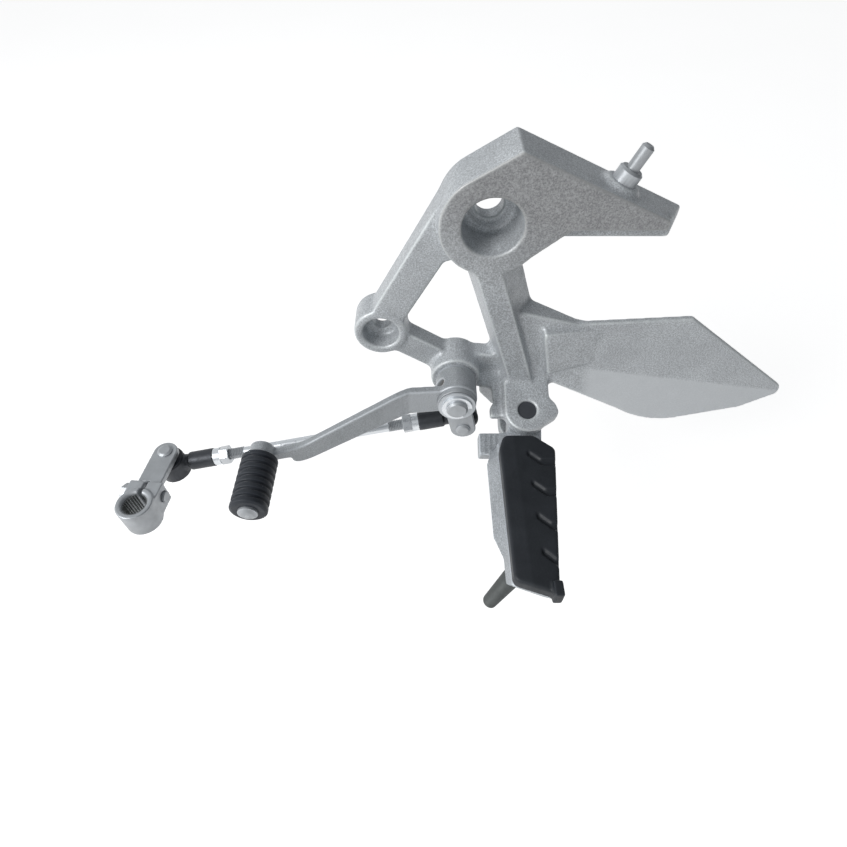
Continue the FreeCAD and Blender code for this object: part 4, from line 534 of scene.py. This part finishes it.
def add_thread(name, start, along, length):
    """Sleeve of sharp crests around the rod."""
    side = along.orthogonal().normalized()
    up = along.cross(side)
    turns = round(length / THREAD_PITCH)
    rows = [(0.0, THREAD_CORE)]
    for i in range(turns):
        rows += [(i * THREAD_PITCH, THREAD_ROOT), ((i + 0.5) * THREAD_PITCH, THREAD_CREST)]
    rows += [(turns * THREAD_PITCH, THREAD_ROOT), (turns * THREAD_PITCH, THREAD_CORE)]
    points, faces = [], []
    for distance, radius in rows:
        for i in range(THREAD_SIDES):
            angle = math.tau * i / THREAD_SIDES
            outward = side * math.cos(angle) + up * math.sin(angle)
            points.append(start + along * distance + outward * radius)
    for row in range(len(rows)):
        after = (row + 1) % len(rows)
        for i in range(THREAD_SIDES):
            j = (i + 1) % THREAD_SIDES
            one, other = row * THREAD_SIDES, after * THREAD_SIDES
            faces.append([one + i, one + j, other + j, other + i])
    add_piece(name, points, faces, "shift_rod", "dull_zinc")


front_nut, rear_nut = middle_of("front_jam_nut"), middle_of("rear_jam_nut")
rod_run = (rear_nut - front_nut).normalized()
add_thread("front_thread", front_nut + rod_run * NUT_HALF, rod_run, THREAD_LONG)
add_thread("rear_thread", rear_nut - rod_run * NUT_HALF, -rod_run, THREAD_LONG)

# Studio: a pale floor, low enough for the linkage at its limits, and a sky that darkens to the right
FLOOR_SIZE = 12.0
FLOOR_DROP = 0.085
FLOOR_GLOW = 0.8
FLOOR_CLOUD = 6
FLOOR_TONES = ((0.3, 0.5), (0.7, 0.52))
SKY = ((0.0, (0.95, 0.98, 1.0)), (0.5, (0.5, 0.52, 0.54)), (1.0, (0.16, 0.17, 0.18)))
SKY_LIGHT = 0.48
SKY_SEEN = 0.9


def add_floor():
    """Floor that shows white and keeps the part's shadow."""
    material, shader = new_material("floor", 0.0, Specular_IOR_Level=0.1, Roughness=0.9)
    pale = ramp(material, noise(material, FLOOR_CLOUD), FLOOR_TONES)
    link(material, pale, shader.inputs["Base Color"])
    shader.inputs["Emission Color"].default_value = (1.0, 1.0, 1.0, 1.0)
    glow = calculate(material, "MULTIPLY", seen_rays(material), FLOOR_GLOW)
    link(material, glow, shader.inputs["Emission Strength"])
    half = FLOOR_SIZE / 2
    ground = cad_low.z - FLOOR_DROP
    corners = [(-half, -half, ground), (half, -half, ground), (half, half, ground), (-half, half, ground)]
    mesh = bpy.data.meshes.new("floor")
    mesh.from_pydata(corners, [], [(0, 1, 2, 3)])
    mesh.materials.append(material)
    floor = bpy.data.objects.new("floor", mesh)
    scene.collection.objects.link(floor)


def set_sky():
    """World with one strength for lighting the part and another for the rays that see it."""
    world = bpy.data.worlds.new("studio")
    scene.world = world
    world.use_nodes = True
    background = world.node_tree.nodes["Background"]
    facing = world.node_tree.nodes.new("ShaderNodeTexCoord")
    split = world.node_tree.nodes.new("ShaderNodeSeparateXYZ")
    link(world, facing.outputs["Generated"], split.inputs["Vector"])
    across = map_range(world, split.outputs["X"], start=-1.0, end=1.0)
    link(world, ramp(world, across, SKY), background.inputs["Color"])
    strength = map_range(world, seen_rays(world), start=0.0, end=1.0, low=SKY_LIGHT, high=SKY_SEEN)
    link(world, strength, background.inputs["Strength"])


add_floor()
set_sky()

# Lamps: a key from the left and a faint rim light from behind
LAMP_AIM = (0.0, -0.05, -0.06)
LAMP_SIZE = 0.6


def add_lamp(name, place, power):
    """Square area lamp aimed at the part, power in watts."""
    data = bpy.data.lights.new(name, "AREA")
    data.energy = power
    data.size = LAMP_SIZE
    lamp = bpy.data.objects.new(name, data)
    lamp.location = place
    lamp.rotation_euler = (Vector(LAMP_AIM) - Vector(place)).to_track_quat("-Z", "Y").to_euler()
    scene.collection.objects.link(lamp)


add_lamp("key", place=(-0.86, -0.62, 0.55), power=9.4)
add_lamp("rim", place=(-0.3, 0.9, 0.7), power=0.8)

# Camera: millimetres for the lens, metres for its place, 50 degrees down
LENS = 23.4
SENSOR = 36.0
CAMERA_PLACE = (-0.0316, -0.2602, 0.1348)
CAMERA_TILT = math.radians(40)
NEAR_CLIP = 0.01
camera_data = bpy.data.cameras.new("camera")
camera_data.lens = LENS
camera_data.sensor_width = SENSOR
camera_data.clip_start = NEAR_CLIP
camera = bpy.data.objects.new("camera", camera_data)
camera.location = CAMERA_PLACE
camera.rotation_euler = (CAMERA_TILT, 0.0, 0.0)
scene.collection.objects.link(camera)
scene.camera = camera
scene.view_settings.view_transform = "Standard"
